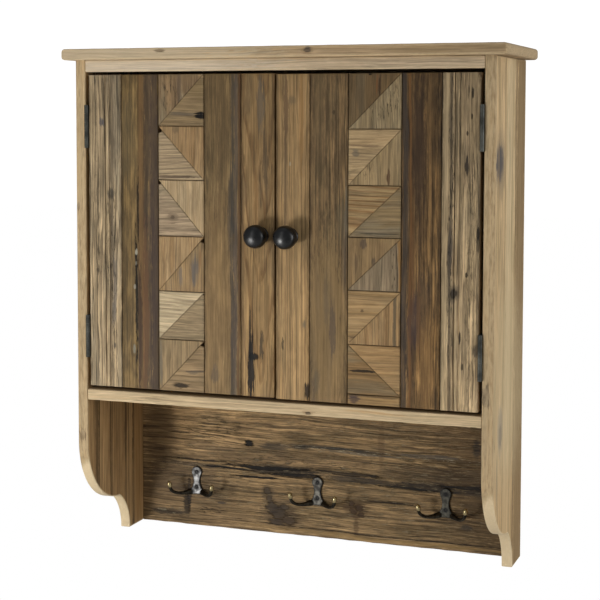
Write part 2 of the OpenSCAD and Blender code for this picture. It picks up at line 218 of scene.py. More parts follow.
# The layers of noise in a wood: the size of the lumps in millimetres along and across the fibres, what
# is added to the board's seed, the detail and the roughness
LAYERS = {
    "sway": (190, 40, 0, 2.0, 0.5),
    "drift": (150, 22, 1, 2.0, 0.5),
    "vivid": (240, 12, 2, 2.0, 0.5),
    "streak": (320, 6, 3, 4.0, 0.65),
    "patch": (110, 22, 4, 4.0, 0.6),
    "fibre": (150, 0.9, 5, 3.0, 0.55),
    "pore": (60, 1.3, 6, 3.0, 0.65),
    "ragged": (16, 2.2, 7, 4.0, 0.7),
    "line": (260, 2.4, 8, 4.0, 0.7),
    "cloud": (48, 9, 9, 5.0, 0.65),
    "cut": (230, 2.3, 10, 2.0, 0.6),
}
PORE_COLOUR = "2d241a"
WOOD_SPECULAR = 0.18  # old dry wood has hardly any gloss

# Colours are sRGB. The colour and strength for the edges give their wear, and on the door boards and
# tiles also the dirt and painted shade in the joints. rings is the spacing of the growth rings, where
# the pith lies across and behind the board, and how much the pith leans. waver is how far the grain
# wavers in millimetres. The brightness at the board's start and end, and how far the end is, is partly
# the board's own colour and partly painted light: lighter where more light falls, darker where shade
# falls. relief is the depth of the bump, and mark_reach how far the marks go into the board, in their
# own half widths. The rest are strengths.
PLAIN_LOOK = dict(
    light="b79b70", dark="8f7148", shade="8a7350", weather="8d8064", wear_and_shade=("6a5740", 0.35),
    rings=(7.0, 20.0, 90.0, 0.0), ring_depth=0.45, waver=5.0, tone=(1.0, 1.0, 430.0),
    streaks=0.35, weathered=0.2, fibre=0.2, lines=0.3, clouds=0.16, cuts=0.34, pores=0.38,
    relief=0.25, roughness=0.62, mark_reach=LONG, marks=(),
)


def growth_rings(s, place, bent, look, layer):
    """Darkness of the growth rings round a pith line, more vivid in some places than in others."""
    spacing, pith_across, pith_into, lean = look["rings"]
    level = s.vector("DOT_PRODUCT", bent, (0, 1, 0))
    depth = s.vector("DOT_PRODUCT", bent, (-lean, 0, 1))
    flat = s.node("ShaderNodeCombineXYZ", {0: level, 1: depth}).outputs[0]
    reach = s.vector("LENGTH", s.vector("SUBTRACT", flat, (pith_across, pith_into, 0)))
    turns = s.math("MULTIPLY_ADD", layer("drift", place), 1.3, s.math("DIVIDE", reach, spacing))
    ring = s.ramp(s.math("FRACT", turns), RING)
    return s.math("MULTIPLY", ring, s.fade(layer("vivid", place), 0.3, 0.7, 0.5, 1.0))


def grain_shading(s, place, line, cloud, cut, look):
    """How bright each place is: fine lines, soft clouds, thin dark cuts, and a brightness that runs along the
    board, partly its own colour and partly painted light.
    """
    tone_start, tone_end, length = look["tone"]
    parts = (
        s.fade(cloud, 0.36, 0.64, 1 - look["clouds"], 1 + look["clouds"]),
        s.fade(cut, 0.565, 0.61, 1.0, 1 - look["cuts"]),
        # Partly painted light: the brightness runs from the board's start to its end
        s.fade(s.vector("DOT_PRODUCT", place, (1, 0, 0)), 0.0, length, tone_start, tone_end),
    )
    shading = s.fade(line, 0.36, 0.64, 1 - look["lines"], 1 + look["lines"])
    for part in parts:
        shading = s.math("MULTIPLY", shading, part)
    return shading


def mark_mask(s, mark, place, reach, ragged, torn, faded):
    """Where a mark shows, from 0 to its strength. ragged, torn and faded break up its border."""
    kind, along, across, half_along, half_across, _, amount = mark
    shape = (1 / half_along, 1 / half_across, 1 / (reach * half_across))
    shift = (-along / half_along, -across / half_across, 0)
    out = s.vector("LENGTH", s.vector("MULTIPLY_ADD", place, shape, shift))
    if kind == "flecks":
        return s.math("MULTIPLY", s.fade(out, 1.3, 0.6), s.fade(ragged, 0.54, 0.63, 0.0, amount))
    if kind == "wash":
        return s.fade(s.math("MULTIPLY_ADD", torn, 0.06, out), 1.05, 0.95, 0.0, amount)
    away = s.math("ADD", torn, out)
    if kind == "hard":
        return s.fade(away, 1.15, 0.8, 0.0, amount)
    return s.math("MULTIPLY", s.fade(away, 1.25, 0.7, 0.0, amount), faded)


def wood(name, start, grain, seed, **changes):
    """Wood with growth rings round a pith line, streaks, fibres, pores and this board's marks."""
    look = {**PLAIN_LOOK, **changes}
    s = Surface(name)

    def layer(kind, where, output="Fac"):
        along, across, shift, detail, roughness = LAYERS[kind]
        return s.noise(where, (along, across, across), seed + shift, detail, roughness, output)

    place = s.place(start, grain)
    sway = s.vector("SUBTRACT", layer("sway", place, "Color"), (0.5, 0.5, 0.5))
    bend = 2.6 * look["waver"]
    bent = s.vector("MULTIPLY_ADD", sway, (0, bend, bend), place)
    patch = layer("patch", place)
    fibre, line, ragged = (layer(kind, bent) for kind in ("fibre", "line", "ragged"))

    # The noise lies round 0.5, so the ends of a fade say how much of the board its layer covers
    ring = growth_rings(s, place, bent, look, layer)
    colour = s.mix(s.math("MULTIPLY", ring, look["ring_depth"]), linear(look["light"]), linear(look["dark"]))
    streaked = s.fade(layer("streak", bent), 0.42, 0.64, 0.0, look["streaks"])
    colour = s.mix(streaked, colour, linear(look["shade"]))
    colour = s.mix(s.fade(patch, 0.45, 0.66, 0.0, look["weathered"]), colour, linear(look["weather"]))
    pore = s.math("MULTIPLY_ADD", patch, 0.5, layer("pore", bent))
    pore = s.fade(pore, 0.82, 0.94, 0.0, look["pores"])
    colour = s.mix(pore, colour, linear(PORE_COLOUR))
    shading = grain_shading(s, place, line, layer("cloud", bent), layer("cut", bent), look)
    colour = s.scaled(colour, shading)

    torn = s.math("MULTIPLY_ADD", ragged, 2.2, s.math("MULTIPLY_ADD", line, 1.6, -1.9))
    faded = s.fade(line, 0.36, 0.6, 0.65, 1.0)
    dented = s.math("MULTIPLY", pore, 0.6)
    for mark in look["marks"]:
        kind, tint = mark[0], mark[5]
        mask = mark_mask(s, mark, bent, look["mark_reach"], ragged, torn, faded)
        colour = s.mix(mask, colour, linear(tint))
        if kind in ("hard", "flecks"):
            dented = s.math("MAXIMUM", dented, mask)

    colour = s.scaled(colour, s.math("MULTIPLY_ADD", fibre, 2 * look["fibre"], 1 - look["fibre"]))
    # The edges take their wear colour, and on the door boards and tiles also dirt and painted shade in the
    # joints
    wear_and_shade_colour, wear_and_shade_amount = look["wear_and_shade"]
    wear_and_shade = s.math("MULTIPLY", s.wear(), s.fade(ragged, 0.35, 0.6, 0.25 * wear_and_shade_amount, wear_and_shade_amount))
    colour = s.mix(wear_and_shade, colour, linear(wear_and_shade_colour))

    height = s.math("MULTIPLY_ADD", ring, 0.35, s.math("MULTIPLY", fibre, 0.6))
    s.bump(s.math("SUBTRACT", height, s.math("MULTIPLY", dented, 1.6)), look["relief"])
    rough = look["roughness"]
    return s.set(
        Base_Color=colour,
        Roughness=s.fade(fibre, 0.3, 0.7, rough + 0.1, rough - 0.06),
        Specular_IOR_Level=WOOD_SPECULAR,
    )


def metal(name, colour, dark, roughness, metallic=1.0, spread=0.12, grain=6.0, edge=None, stains=()):
    """Metal with a blotchy patina, fine scratches and a roughness that varies by spread.

    grain is the size of the blotches. edge is the colour of the edges, painted shade where it is given, as
    on the hook plates' rims, and stains are the places of dark stains in the XZ plane, such as round the
    screws.
    """
    stain_start, stain_end, stain_amount = 2.6, 5.4, 0.92
    edge_amount = 0.85 if edge else 0.5
    s = Surface(name)
    place = s.place(Vector((0, 0, 0)), DOWN)
    patina = s.noise(place, (grain, grain, grain), 3, 4.0, 0.6)
    fine = s.noise(place, (0.8, 0.8, 0.8), 5, 3.0)
    shade = s.mix(s.fade(patina, 0.35, 0.65), linear(dark), linear(colour))
    # On the hook plates the edge colour is painted shade on their rims
    shade = s.mix(s.math("MULTIPLY", s.wear(), edge_amount), shade, linear(edge or colour))
    for centre in stains:
        away = s.vector("LENGTH", s.vector("MULTIPLY", s.place(centre, DOWN), (1, 1, 0)))
        stain = s.fade(away, stain_start, stain_end, stain_amount, 0.0)
        shade = s.mix(stain, shade, linear(edge or dark))
    s.bump(s.math("MULTIPLY_ADD", patina, 0.5, fine), 0.05, 0.6)
    return s.set(
        Base_Color=shade,
        Metallic=metallic,
        Roughness=s.fade(patina, 0.3, 0.7, roughness + spread, roughness - spread),
    )


def plastic(name, colour, dark, roughness):
    """Moulded plastic with a faint mottle and a fine orange-peel surface."""
    s = Surface(name)
    place = s.place(Vector((0, 0, 0)), DOWN)
    mottle = s.noise(place, (9, 9, 9), 2, 3.0)
    s.bump(s.noise(place, (0.7, 0.7, 0.7), 4, 2.0), 0.04, 0.5)
    return s.set(
        Base_Color=s.mix(mottle, linear(dark), linear(colour)),
        Roughness=s.fade(mottle, 0.3, 0.7, roughness + 0.05, roughness - 0.05),
    )


def black_paint():
    """Satin black paint with a faint orange-peel surface, a little duller where dust lies."""
    s = Surface("knob_black")
    place = s.place(Vector((0, 0, 0)), DOWN)
    dust = s.noise(place, (7, 7, 7), 3, 4.0, 0.6)
    s.bump(s.noise(place, (0.9, 0.9, 0.9), 5, 2.0), 0.03, 0.4)
    return s.set(
        Base_Color=s.mix(dust, linear("060607"), linear("0d0e0f")),
        Roughness=s.fade(dust, 0.3, 0.7, 0.36, 0.27),
        Specular_IOR_Level=0.45,
    )


# ---- Shapes ----

class Shape:
    """Points in millimetres and the faces between them, gathered ring by ring."""

    def __init__(self):
        self.points = []
        self.wear = []
        self.faces = []
        self.slots = []

    def ring(self, points, wear):
        first = len(self.points)
        self.points += [Vector(p) for p in points]
        self.wear += wear
        return range(first, len(self.points))

    def join(self, first, second, slot=0):
        count = len(first)
        for i in range(count):
            j = (i + 1) % count
            self.faces.append((first[i], first[j], second[j], second[i]))
            self.slots.append(slot)

    def cap(self, ring, slot=0):
        self.faces.append(tuple(ring))
        self.slots.append(slot)

    def skin(self, rings, slot=0):
        """Joins rings into a closed skin."""
        for first, second in zip(rings, rings[1:]):
            self.join(first, second, slot)
        self.cap(rings[0], slot)
        self.cap(rings[-1], slot)

    def piece(self, node, body, materials, smooth_angle=40):
        """Makes the object that is shown for a CAD node."""
        mesh = bpy.data.meshes.new(node + "_look")
        mesh.from_pydata([p * MM for p in self.points], [], self.faces)
        for material in materials:
            mesh.materials.append(material)
        mesh.polygons.foreach_set("material_index", self.slots)
        mesh.attributes.new("wear", "FLOAT", "POINT").data.foreach_set("value", self.wear)
        edit = bmesh.new()
        edit.from_mesh(mesh)
        bmesh.ops.recalc_face_normals(edit, faces=edit.faces)
        edit.to_mesh(mesh)
        edit.free()
        mesh.shade_smooth()
        mesh.set_sharp_from_angle(angle=math.radians(smooth_angle))
        made = bpy.data.objects.new(node + "_look", mesh)
        bpy.context.scene.collection.objects.link(made)
        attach(made, body)
        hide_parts(node)


def arc(centre, radius, start, end, steps):
    """Points on an arc in a plane, with angles in degrees."""
    angles = [math.radians(start + (end - start) * i / steps) for i in range(steps + 1)]
    return [(centre[0] + radius * math.cos(a), centre[1] + radius * math.sin(a)) for a in angles]


def eased_section(size, ease, front=()):
    """A rectangle's outline with eased corners, as (across, into, wear). front gives points that
    cut grooves into its front side, as (across, into)."""
    width, depth = size
    reach_across = min(WEAR_REACH, width / 4)
    reach_into = min(WEAR_REACH, depth / 4)
    corners = (((ease, ease), 180), ((width - ease, ease), 270),
               ((width - ease, depth - ease), 0), ((ease, depth - ease), 90))
    points = []
    for number, (centre, start) in enumerate(corners):
        turn = [(a, b, 1.0) for a, b in arc(centre, ease, start, start + 90, 3)]
        (a0, b0, _), (a1, b1, _) = turn[0], turn[-1]
        before = ((0, min(b0 + WEAR_REACH, depth / 2)), (a0 - reach_across, 0),
                  (width, b0 - reach_into), (a0 + reach_across, depth))[number]
        after = ((a1 + reach_across, 0), (width, b1 + reach_into),
                 (a1 - reach_across, depth), (0, b1 - reach_into))[number]
        points += [(*before, 0.0), *turn, (*after, 0.0)]
        if number == 0:
            points += [(a, b, 0.0) for a, b in front]
    return points


def rounding_inset(radius, distance):
    """How far a surface has drawn in at a distance from the end of a board with rounded ends."""
    short = max(0.0, radius - distance)
    return radius - math.sqrt(radius ** 2 - short ** 2)


def stations(length, rounding):
    """Where a board's sections lie along it: close together in the rounding, evenly between."""
    spacing = 9
    steps = max(2, round(length / spacing))
    rounded = [rounding * (1 - math.cos(math.pi / 2 * i / 4)) for i in range(4)]
    middle = [rounding + (length - 2 * rounding) * i / steps for i in range(steps + 1)]
    return rounded + middle + [length - r for r in reversed(rounded)]


def plank(node, body, slot, materials, along, ease=1.2, end_ease=None, front=(), waver=0.5, seed=0.0,
          chips=()):
    """A board along one axis, in the box of its CAD node, with eased edges that wear has slightly dented.

    waver is how far wear dents the edges at most. chips are (distance from the low end, distance
    across, depth, length) of dents in an edge.
    """
    waves = (37, 23, 9)  # length of the wear's waves along, across and into the board
    chip_width = 6
    low, high = box_mm(node)
    across, into = [axis for axis in range(3) if axis != along]
    width, depth, length = [high[a] - low[a] for a in (across, into, along)]
    section = eased_section((width, depth), ease, front)
    roundings = end_ease or (ease, ease)
    shape = Shape()
    rings = []
    for distance in stations(length, max(roundings)):
        end = min(distance, length - distance)
        insets = [rounding_inset(radius, end) for radius in roundings]
        ring = []
        for a, b, wear_and_shade in section:
            near = noise.noise(Vector((distance / waves[0], a / waves[1] + seed, b / waves[2] + seed)))
            dent = waver * wear_and_shade * abs(near)
            for chip_at, chip_across, chip_depth, chip_length in chips:
                away = math.hypot((distance - chip_at) / chip_length, (a - chip_across) / chip_width)
                dent += wear_and_shade * chip_depth * math.exp(-away ** 2)
            point = Vector((0, 0, 0))
            point[along] = low[along] + distance
            for axis, value, size, inset in ((across, a, width, insets[0]), (into, b, depth, insets[1])):
                half = size / 2
                point[axis] = low[axis] + half + (value - half) * (half - inset - dent) / half
            ring.append(point)
        at_end = 1.0 if end < 0.5 * max(roundings) else 0.0
        rings.append(shape.ring(ring, [max(wear_and_shade, at_end) for _, _, wear_and_shade in section]))
    shape.skin(rings)
    shape.piece(node, body, materials)


def inward(outline, distance):
    """The outline moved inwards by a distance. It runs anticlockwise."""
    least_scale = 0.35  # keeps the sharp corners of a triangle from moving too far
    moved = []
    count = len(outline)
    for i, point in enumerate(outline):
        here = Vector(point)
        before = (here - Vector(outline[i - 1])).normalized()
        after = (Vector(outline[(i + 1) % count]) - here).normalized()
        normal = Vector((-before.y - after.y, before.x + after.x))
        scale = max(least_scale, (1 + before.dot(after)) / 2)
        moved.append(here + normal.normalized() * distance / math.sqrt(scale))
    return moved


def slab(shape, outline, low, high, ease, put, rim=WEAR_REACH, slots=(0, 0, 0)):
    """Adds a flat piece with eased edges, whose edge weight for wear and painted shade reaches as far in as
    rim. put places (across, up, into) in the row frame, low and high are its depths, and slots are for
    its low face, edge and high face."""
    steps = 3
    levels = [(rim, low, 0.0)]
    turns = [math.pi / 2 * i / steps for i in range(steps + 1)]
    levels += [(ease * (1 - math.sin(t)), low + ease * (1 - math.cos(t)), 1.0) for t in turns]
    levels += [(ease * (1 - math.cos(t)), high - ease * (1 - math.sin(t)), 1.0) for t in turns]
    levels += [(rim, high, 0.0)]
    rings = []
    for inset, depth, wear_and_shade in levels:
        points = [put(p[0], p[1], depth) for p in inward(outline, inset)]
        rings.append(shape.ring(points, [wear_and_shade] * len(points)))
    low_slot, edge_slot, high_slot = slots
    shape.cap(rings[0], low_slot)
    shape.cap(rings[-1], high_slot)
    for number, (first, second) in enumerate(zip(rings, rings[1:])):
        slot = low_slot if number == 0 else high_slot if number == len(rings) - 2 else edge_slot
        shape.join(first, second, slot)


def lathe(shape, centre, profile, axis, steps=64, slot=0):
    """Adds a turned body: the profile is (distance along the axis, radius, wear)."""
    axis = axis.normalized()
    side = axis.orthogonal().normalized()
    other = axis.cross(side)
    rings = []
    for along, radius, wear_and_shade in profile:
        points = []
        for i in range(steps):
            turn = 2 * math.pi * i / steps
            spoke = side * math.cos(turn) + other * math.sin(turn)
            points.append(centre + axis * along + spoke * radius)
        rings.append(shape.ring(points, [wear_and_shade] * steps))
    shape.skin(rings, slot)


def tube(shape, path, radii, steps=16, slot=0):
    """Adds a round bar that follows the path with a radius at each point."""
    rings = []
    side = None
    for i, (point, radius) in enumerate(zip(path, radii)):
        ahead = path[min(i + 1, len(path) - 1)] - path[max(i - 1, 0)]
        ahead.normalize()
        side = ahead.orthogonal() if side is None else side - ahead * side.dot(ahead)
        side.normalize()
        other = ahead.cross(side)
        turns = [2 * math.pi * j / steps for j in range(steps)]
        points = [point + (side * math.cos(t) + other * math.sin(t)) * radius for t in turns]
        rings.append(shape.ring(points, [0.0] * steps))
    shape.skin(rings, slot)


# ---- Carcass ----

FRAME_WOOD = dict(
    light="c4a67c", dark="a08055", shade="a98c62", weather="b0a082", wear_and_shade=("d2ba93", 0.5),
    lines=0.18, clouds=0.09, cuts=0.22, pores=0.3,
)
PLYWOOD = dict(
    light="ab8d62", dark="8d6f46", shade="967850", streaks=0.25, weathered=0.1, fibre=0.12, lines=0.1,
    clouds=0.06, cuts=0.08, pores=0.15,
)


def frame_board(node, axis, grain, seed, ends=None, look=None, **shape):
    """A pale board of the carcass, with its own grain."""
    material = wood(node + "_wood", top_front(node), grain, seed, **{**FRAME_WOOD, **(look or {})})
    plank(node, "carcass", "pale_wood", [material], axis, end_ease=ends, seed=seed, **shape)


def side_outline(low, high):
    """The side's outline in the YZ plane, with the front at low Y, anticlockwise from the top."""
    lobe_radius = 101
    hollow_radius = 65
    foot_depth = 55
    foot_height = 57
    lobe_end = 267  # degrees: just short of the flat bit that leads to the cusp
    front, wall = low.y, high.y
    lobe_bottom = low.z + foot_height
    hollow = (wall - foot_depth - hollow_radius, low.z)
    meeting = math.degrees(math.asin(foot_height / hollow_radius))
    outline = [(front, high.z)]
    outline += arc((front + lobe_radius, lobe_bottom + lobe_radius), lobe_radius, 180, lobe_end, 24)
    outline += arc(hollow, hollow_radius, meeting, 0, 14)
    outline += [(wall, low.z), (wall, high.z)]
    return outline


def side_board(node, seed, outer, inner, cut):
    """A side board, with one wood for its outer face, one for its inner face and one for its edges."""
    low, high = box_mm(node)
    looks = {"outer": outer, "cut": cut, "inner": inner}
    grains = {"outer": SIDE, "cut": DOWN, "inner": SIDE}
    woods = [wood(f"{node}_{face}", top_front(node), grains[face], seed + 3 * number,
                  **{**FRAME_WOOD, **look}) for number, (face, look) in enumerate(looks.items())]
    left = low.x < 0
    shape = Shape()
    slab(shape, side_outline(low, high), low.x, high.x, 1.4, lambda a, b, c: Vector((c, a, b)),
         slots=(0, 1, 2) if left else (2, 1, 0))
    shape.piece(node, "carcass", woods)


def build_carcass():
    """The pale boards round the doors and the bay, each with the marks that it has in the photo."""
    frame_board(
        "top_board", 0, ALONG_X, 1, ends=(2.5, 5), ease=1.4, waver=0.7,
        look=dict(
            light="bfa37e", dark="967a56", rings=(5.0, 60.0, 40.0, 0.03),
            tone=(1.12, 0.79, 630.0), mark_reach=3.0,
            marks=(
                spot(110, 8, 190, 30, "c6b99f", 0.55), spot(152, 2, 9, 3, "5b4731", 0.75),
                spot(366, 7, 8, 6, "7d6547", 0.6), spot(366, 6, 4.5, 4.5, "35302d", 0.95),
                spot(560, 8, 90, 8, "8f7a58", 0.5),
            ),
        ),
    )
    frame_board(
        "top_rail", 0, ALONG_X, 5,
        look=dict(
            light="c9b495", dark="a89073", shade="b8a082", rings=(4.0, 20.0, 60.0, 0.0),
            ring_depth=0.3, weathered=0.1, fibre=0.18, tone=(1.08, 0.9, 570.0),
            # The pale spot over the left part is a painted highlight
            marks=(spot(100, 8, 170, 20, "d0c5b2", 0.5),),
        ),
    )
    frame_board(
        "bottom_shelf", 0, ALONG_X, 9, ease=1.4, waver=0.7,
        look=dict(
            light="cab28d", dark="a98e67", shade="b39a73", rings=(6.0, -30.0, 40.0, 0.02),
            ring_depth=0.35, mark_reach=3.0,
            marks=(
                spot(333, 13, 9, 3, "8a6c48", 0.5), crack(333, 13.5, 4, 1.8, 0.85, "2c221a"),
                crack(560, 14.5, 4, 1.6, 0.85, "2c221a"), spot(420, 4, 40, 2, "c79a63", 0.5),
            ),
        ),
    )
    frame_board("inner_shelf", 0, ALONG_X, 13, look=dict(rings=(8.0, 40.0, 70.0, 0.02)))

    side_cut = dict(
        light="ab9069", dark="8a7250", shade="957b57", rings=(4.5, 60.0, 30.0, 0.0), lines=0.24,
        ring_depth=0.3, fibre=0.16, weathered=0.1,
    )
    # A pale wash over the cut edges round the feet
    pale_foot_wash = wash(720, 14, 150, 40, "e9d5b0", 0.75)
    side_board(
        "left_side", 21,
        outer=dict(rings=(9.0, 70.0, 60.0, 0.03), weathered=0.45),
        inner=dict(
            light="b19064", dark="745736", shade="866a47", weather="8a7653",
            rings=(13.0, 90.0, 200.0, 0.0), ring_depth=0.55, streaks=0.6, waver=2.0,
            marks=(
                band(28, 4.5, "33271b", 0.75), band(35, 1.5, "2b2017", 0.85), band(71, 2.0, "33271b", 0.8),
                band(76, 1.0, "2b2017", 0.7), band(118, 3.5, "33271b", 0.8), band(128, 1.2, "2b2017", 0.7),
                band(144, 3.5, "2f2419", 0.85), band(160, 14, "a27a4a", 0.5),
                spot(640, 125, 60, 30, "a8875c", 0.4),
            ),
        ),
        cut=dict(
            side_cut, tone=(1.06, 0.8, 600.0),
            marks=(
                pale_foot_wash,
                spot(118, 6, 14, 5, "b59a74", 0.5), crack(130, 10, 5, 1.8, 0.7, "6d5a44"),
                crack(204, 3, 6, 2.6, 0.85, "4a3b2b"), crack(531, 6, 9, 4.0, 0.8, "5b4630"),
            ),
        ),
    )
    side_board(
        "right_side", 31,
        outer=dict(
            light="d8ba8e", dark="a3845a", shade="ab9069", weather="a8926b",
            rings=(8.0, 120.0, 45.0, 0.04), ring_depth=0.7, weathered=0.55, streaks=0.65, lines=0.26,
            marks=(
                spot(140, 28, 45, 28, "8f7e66", 0.6), spot(136, 24, 23, 22, "44464d", 0.95),
                spot(490, 44, 34, 18, "6a6c72", 0.75), crack(497, 44, 15, 8, 0.8, "4a4d55"),
                band(90, 26, "dac69e", 0.5), spot(556, 25, 40, 4, "66625d", 0.55),
                spot(560, 130, 70, 5, "8a7c66", 0.5), spot(620, 110, 90, 90, "c09a68", 0.5),
                band(20, 3, "a3855a", 0.5), band(58, 4, "8f7854", 0.5), band(104, 5, "9c835c", 0.5),
                crack(506, 8, 5, 2.0, 0.6, "4b3d2e"), band(158, 32, "806846", 0.9),
                band(126, 2.5, "6f5a3e", 0.75), spot(440, 80, 130, 110, "cdb78f", 0.5),
            ),
        ),
        inner=dict(light="a98a60", dark="86683f", rings=(9.0, 80.0, 60.0, 0.02)),
        cut=dict(
            side_cut, tone=(0.8, 0.97, 600.0),
            marks=(pale_foot_wash, crack(437, 5, 13, 5, 0.9, "3d3024")),
        ),
    )


def build_hook_board():
    """The dark board behind the hooks, with its cracks, knots and stains, and painted shade towards its right
    end.
    """
    node = "hook_board"
    material = wood(
        node + "_wood", top_front(node), ALONG_X, 41,
        light="a98b62", dark="5a4835", shade="6f5939", weather="77674b",
        rings=(5.2, 110.0, 30.0, 0.05), ring_depth=0.66, streaks=0.6, weathered=0.35,
        # Painted shade: darker towards the right end
        tone=(1.05, 0.72, 570.0), fibre=0.46, pores=0.55, cuts=0.5, clouds=0.26,
        waver=5.5, relief=0.6,
        marks=(
            # The first spot is painted shade over the right end
            spot(590, 100, 130, 130, "3b2c1a", 0.75), spot(60, 185, 120, 46, "463726", 0.5),
            spot(224, 123, 70, 7, "26221e", 0.95), spot(90, 126, 60, 4, "2f2a25", 0.85),
            spot(70, 150, 70, 26, "41352a", 0.5), spot(200, 105, 110, 14, "4a3c2c", 0.55),
            spot(30, 80, 26, 60, "3d3024", 0.5), spot(470, 110, 110, 12, "3f3428", 0.5),
            spot(351, 126, 62, 5, "2a2622", 0.9), spot(455, 127, 45, 7, "2c2825", 0.9),
            spot(545, 128, 50, 9, "302c29", 0.75), flecks(240, 112, 110, 12, 0.7),
            flecks(285, 110, 300, 110, 0.4, "33291d"), flecks(300, 120, 300, 110, 0.22, "b7a888"),
            spot(217, 88, 20, 6, "37322b", 0.85), spot(257, 85, 15, 4, "332f29", 0.85),
            spot(300, 84, 48, 3, "3a3732", 0.85), spot(357, 88, 52, 2, "57554f", 0.7),
            spot(450, 83, 46, 3, "4b4a47", 0.7), flecks(360, 86, 160, 4, 0.5, "b3a88e"),
            crack(176, 86, 7, 4.5), crack(205, 121, 62, 2.6, 0.9), crack(250, 129, 44, 3.4, 0.9),
            crack(330, 120, 50, 1.8, 0.8), crack(420, 131, 40, 2.2, 0.8), crack(505, 124, 34, 3.0, 0.75),
            crack(100, 117, 48, 1.4, 0.85), crack(213, 181, 9, 9, 0.8, "2f2923"),
            crack(224, 190, 12, 11, 0.8, "28221d"), crack(238, 197, 12, 7, 0.8, "2a241f"),
            crack(222, 202, 14, 4, 0.75, "2a241f"), crack(232, 178, 7, 4, 0.7, "332c25"),
            crack(205, 156, 5, 6, 0.75, "2f2922"), crack(208, 168, 4, 5, 0.7, "342d26"),
            crack(337, 162, 5, 4, 0.75, "2a1d13"), crack(349, 168, 7, 5, 0.75, "2a1d13"),
            crack(340, 174, 6, 4, 0.7, "2f2116"), crack(352, 177, 5, 3, 0.7, "2f2116"),
            crack(78, 172, 3, 22, 0.7, "231d18"), crack(330, 84, 60, 1.6, 0.7, "2e2a25"),
            crack(141, 126, 40, 1.6), crack(188, 136, 36, 2.0), crack(112, 60, 17, 1.4, 0.7),
            crack(64, 80, 18, 1.0, 0.7), crack(120, 79, 22, 1.2, 0.7), flecks(120, 66, 60, 20, 0.6),
            spot(224, 190, 30, 19, "3a3027", 0.7), spot(206, 160, 10, 14, "3f352a", 0.7),
            spot(240, 197, 16, 12, "4a3a28", 0.7), spot(43, 203, 28, 5, "2b251f", 0.85),
            flecks(43, 200, 28, 7, 0.7, "a2977c"), spot(74, 188, 6, 18, "1d1814", 0.9),
            flecks(116, 193, 26, 7, 0.9), spot(132, 180, 8, 2, "33302e", 0.8),
            crack(392, 156, 44, 1.0, 0.75), spot(344, 169, 19, 13, "3c2a1c", 0.75),
            spot(344, 195, 4, 14, "4b3826", 0.6), spot(508, 181, 9, 4, "34322f", 0.75),
            spot(523, 68, 6, 14, "2b2723", 0.85), spot(382, 72, 5, 30, "4f3c28", 0.45),
            crack(395, 206, 185, 0.8, 0.8), spot(395, 211, 200, 2.5, "9a7d4d", 0.55),
        ),
    )
    plank(node, "carcass", "dark_wood", [material], 0, ease=1.0, seed=3.0, waver=0.8)


# ---- Doors ----

# The outline of the old bead grooves in the fronts of the outer boards, as (across, depth)
GROOVES = {
    "left_outer_board": (
        (24.8, 0), (25.5, 1.5), (26.6, 1.5), (27.3, 0.2), (29.2, 0), (31.2, 0.2), (32.0, 1.8),
        (33.2, 1.8), (34.0, 0.5), (36.2, 0.9), (38.0, 0.1),
    ),
    "right_outer_board": (
        (9.8, 0), (11.0, 1.0), (13.2, 1.2), (14.6, 0.2), (16.4, 0.1), (16.9, 1.6), (17.7, 1.6),
        (18.3, 0.1), (23.4, 0), (23.8, 0.8), (24.2, 0.8), (24.6, 0),
    ),
}
# The chipped upper corner by the hinge, as plank takes it
CHIPS = {"right_outer_board": ((438, 50, 3.0, 4.0),)}

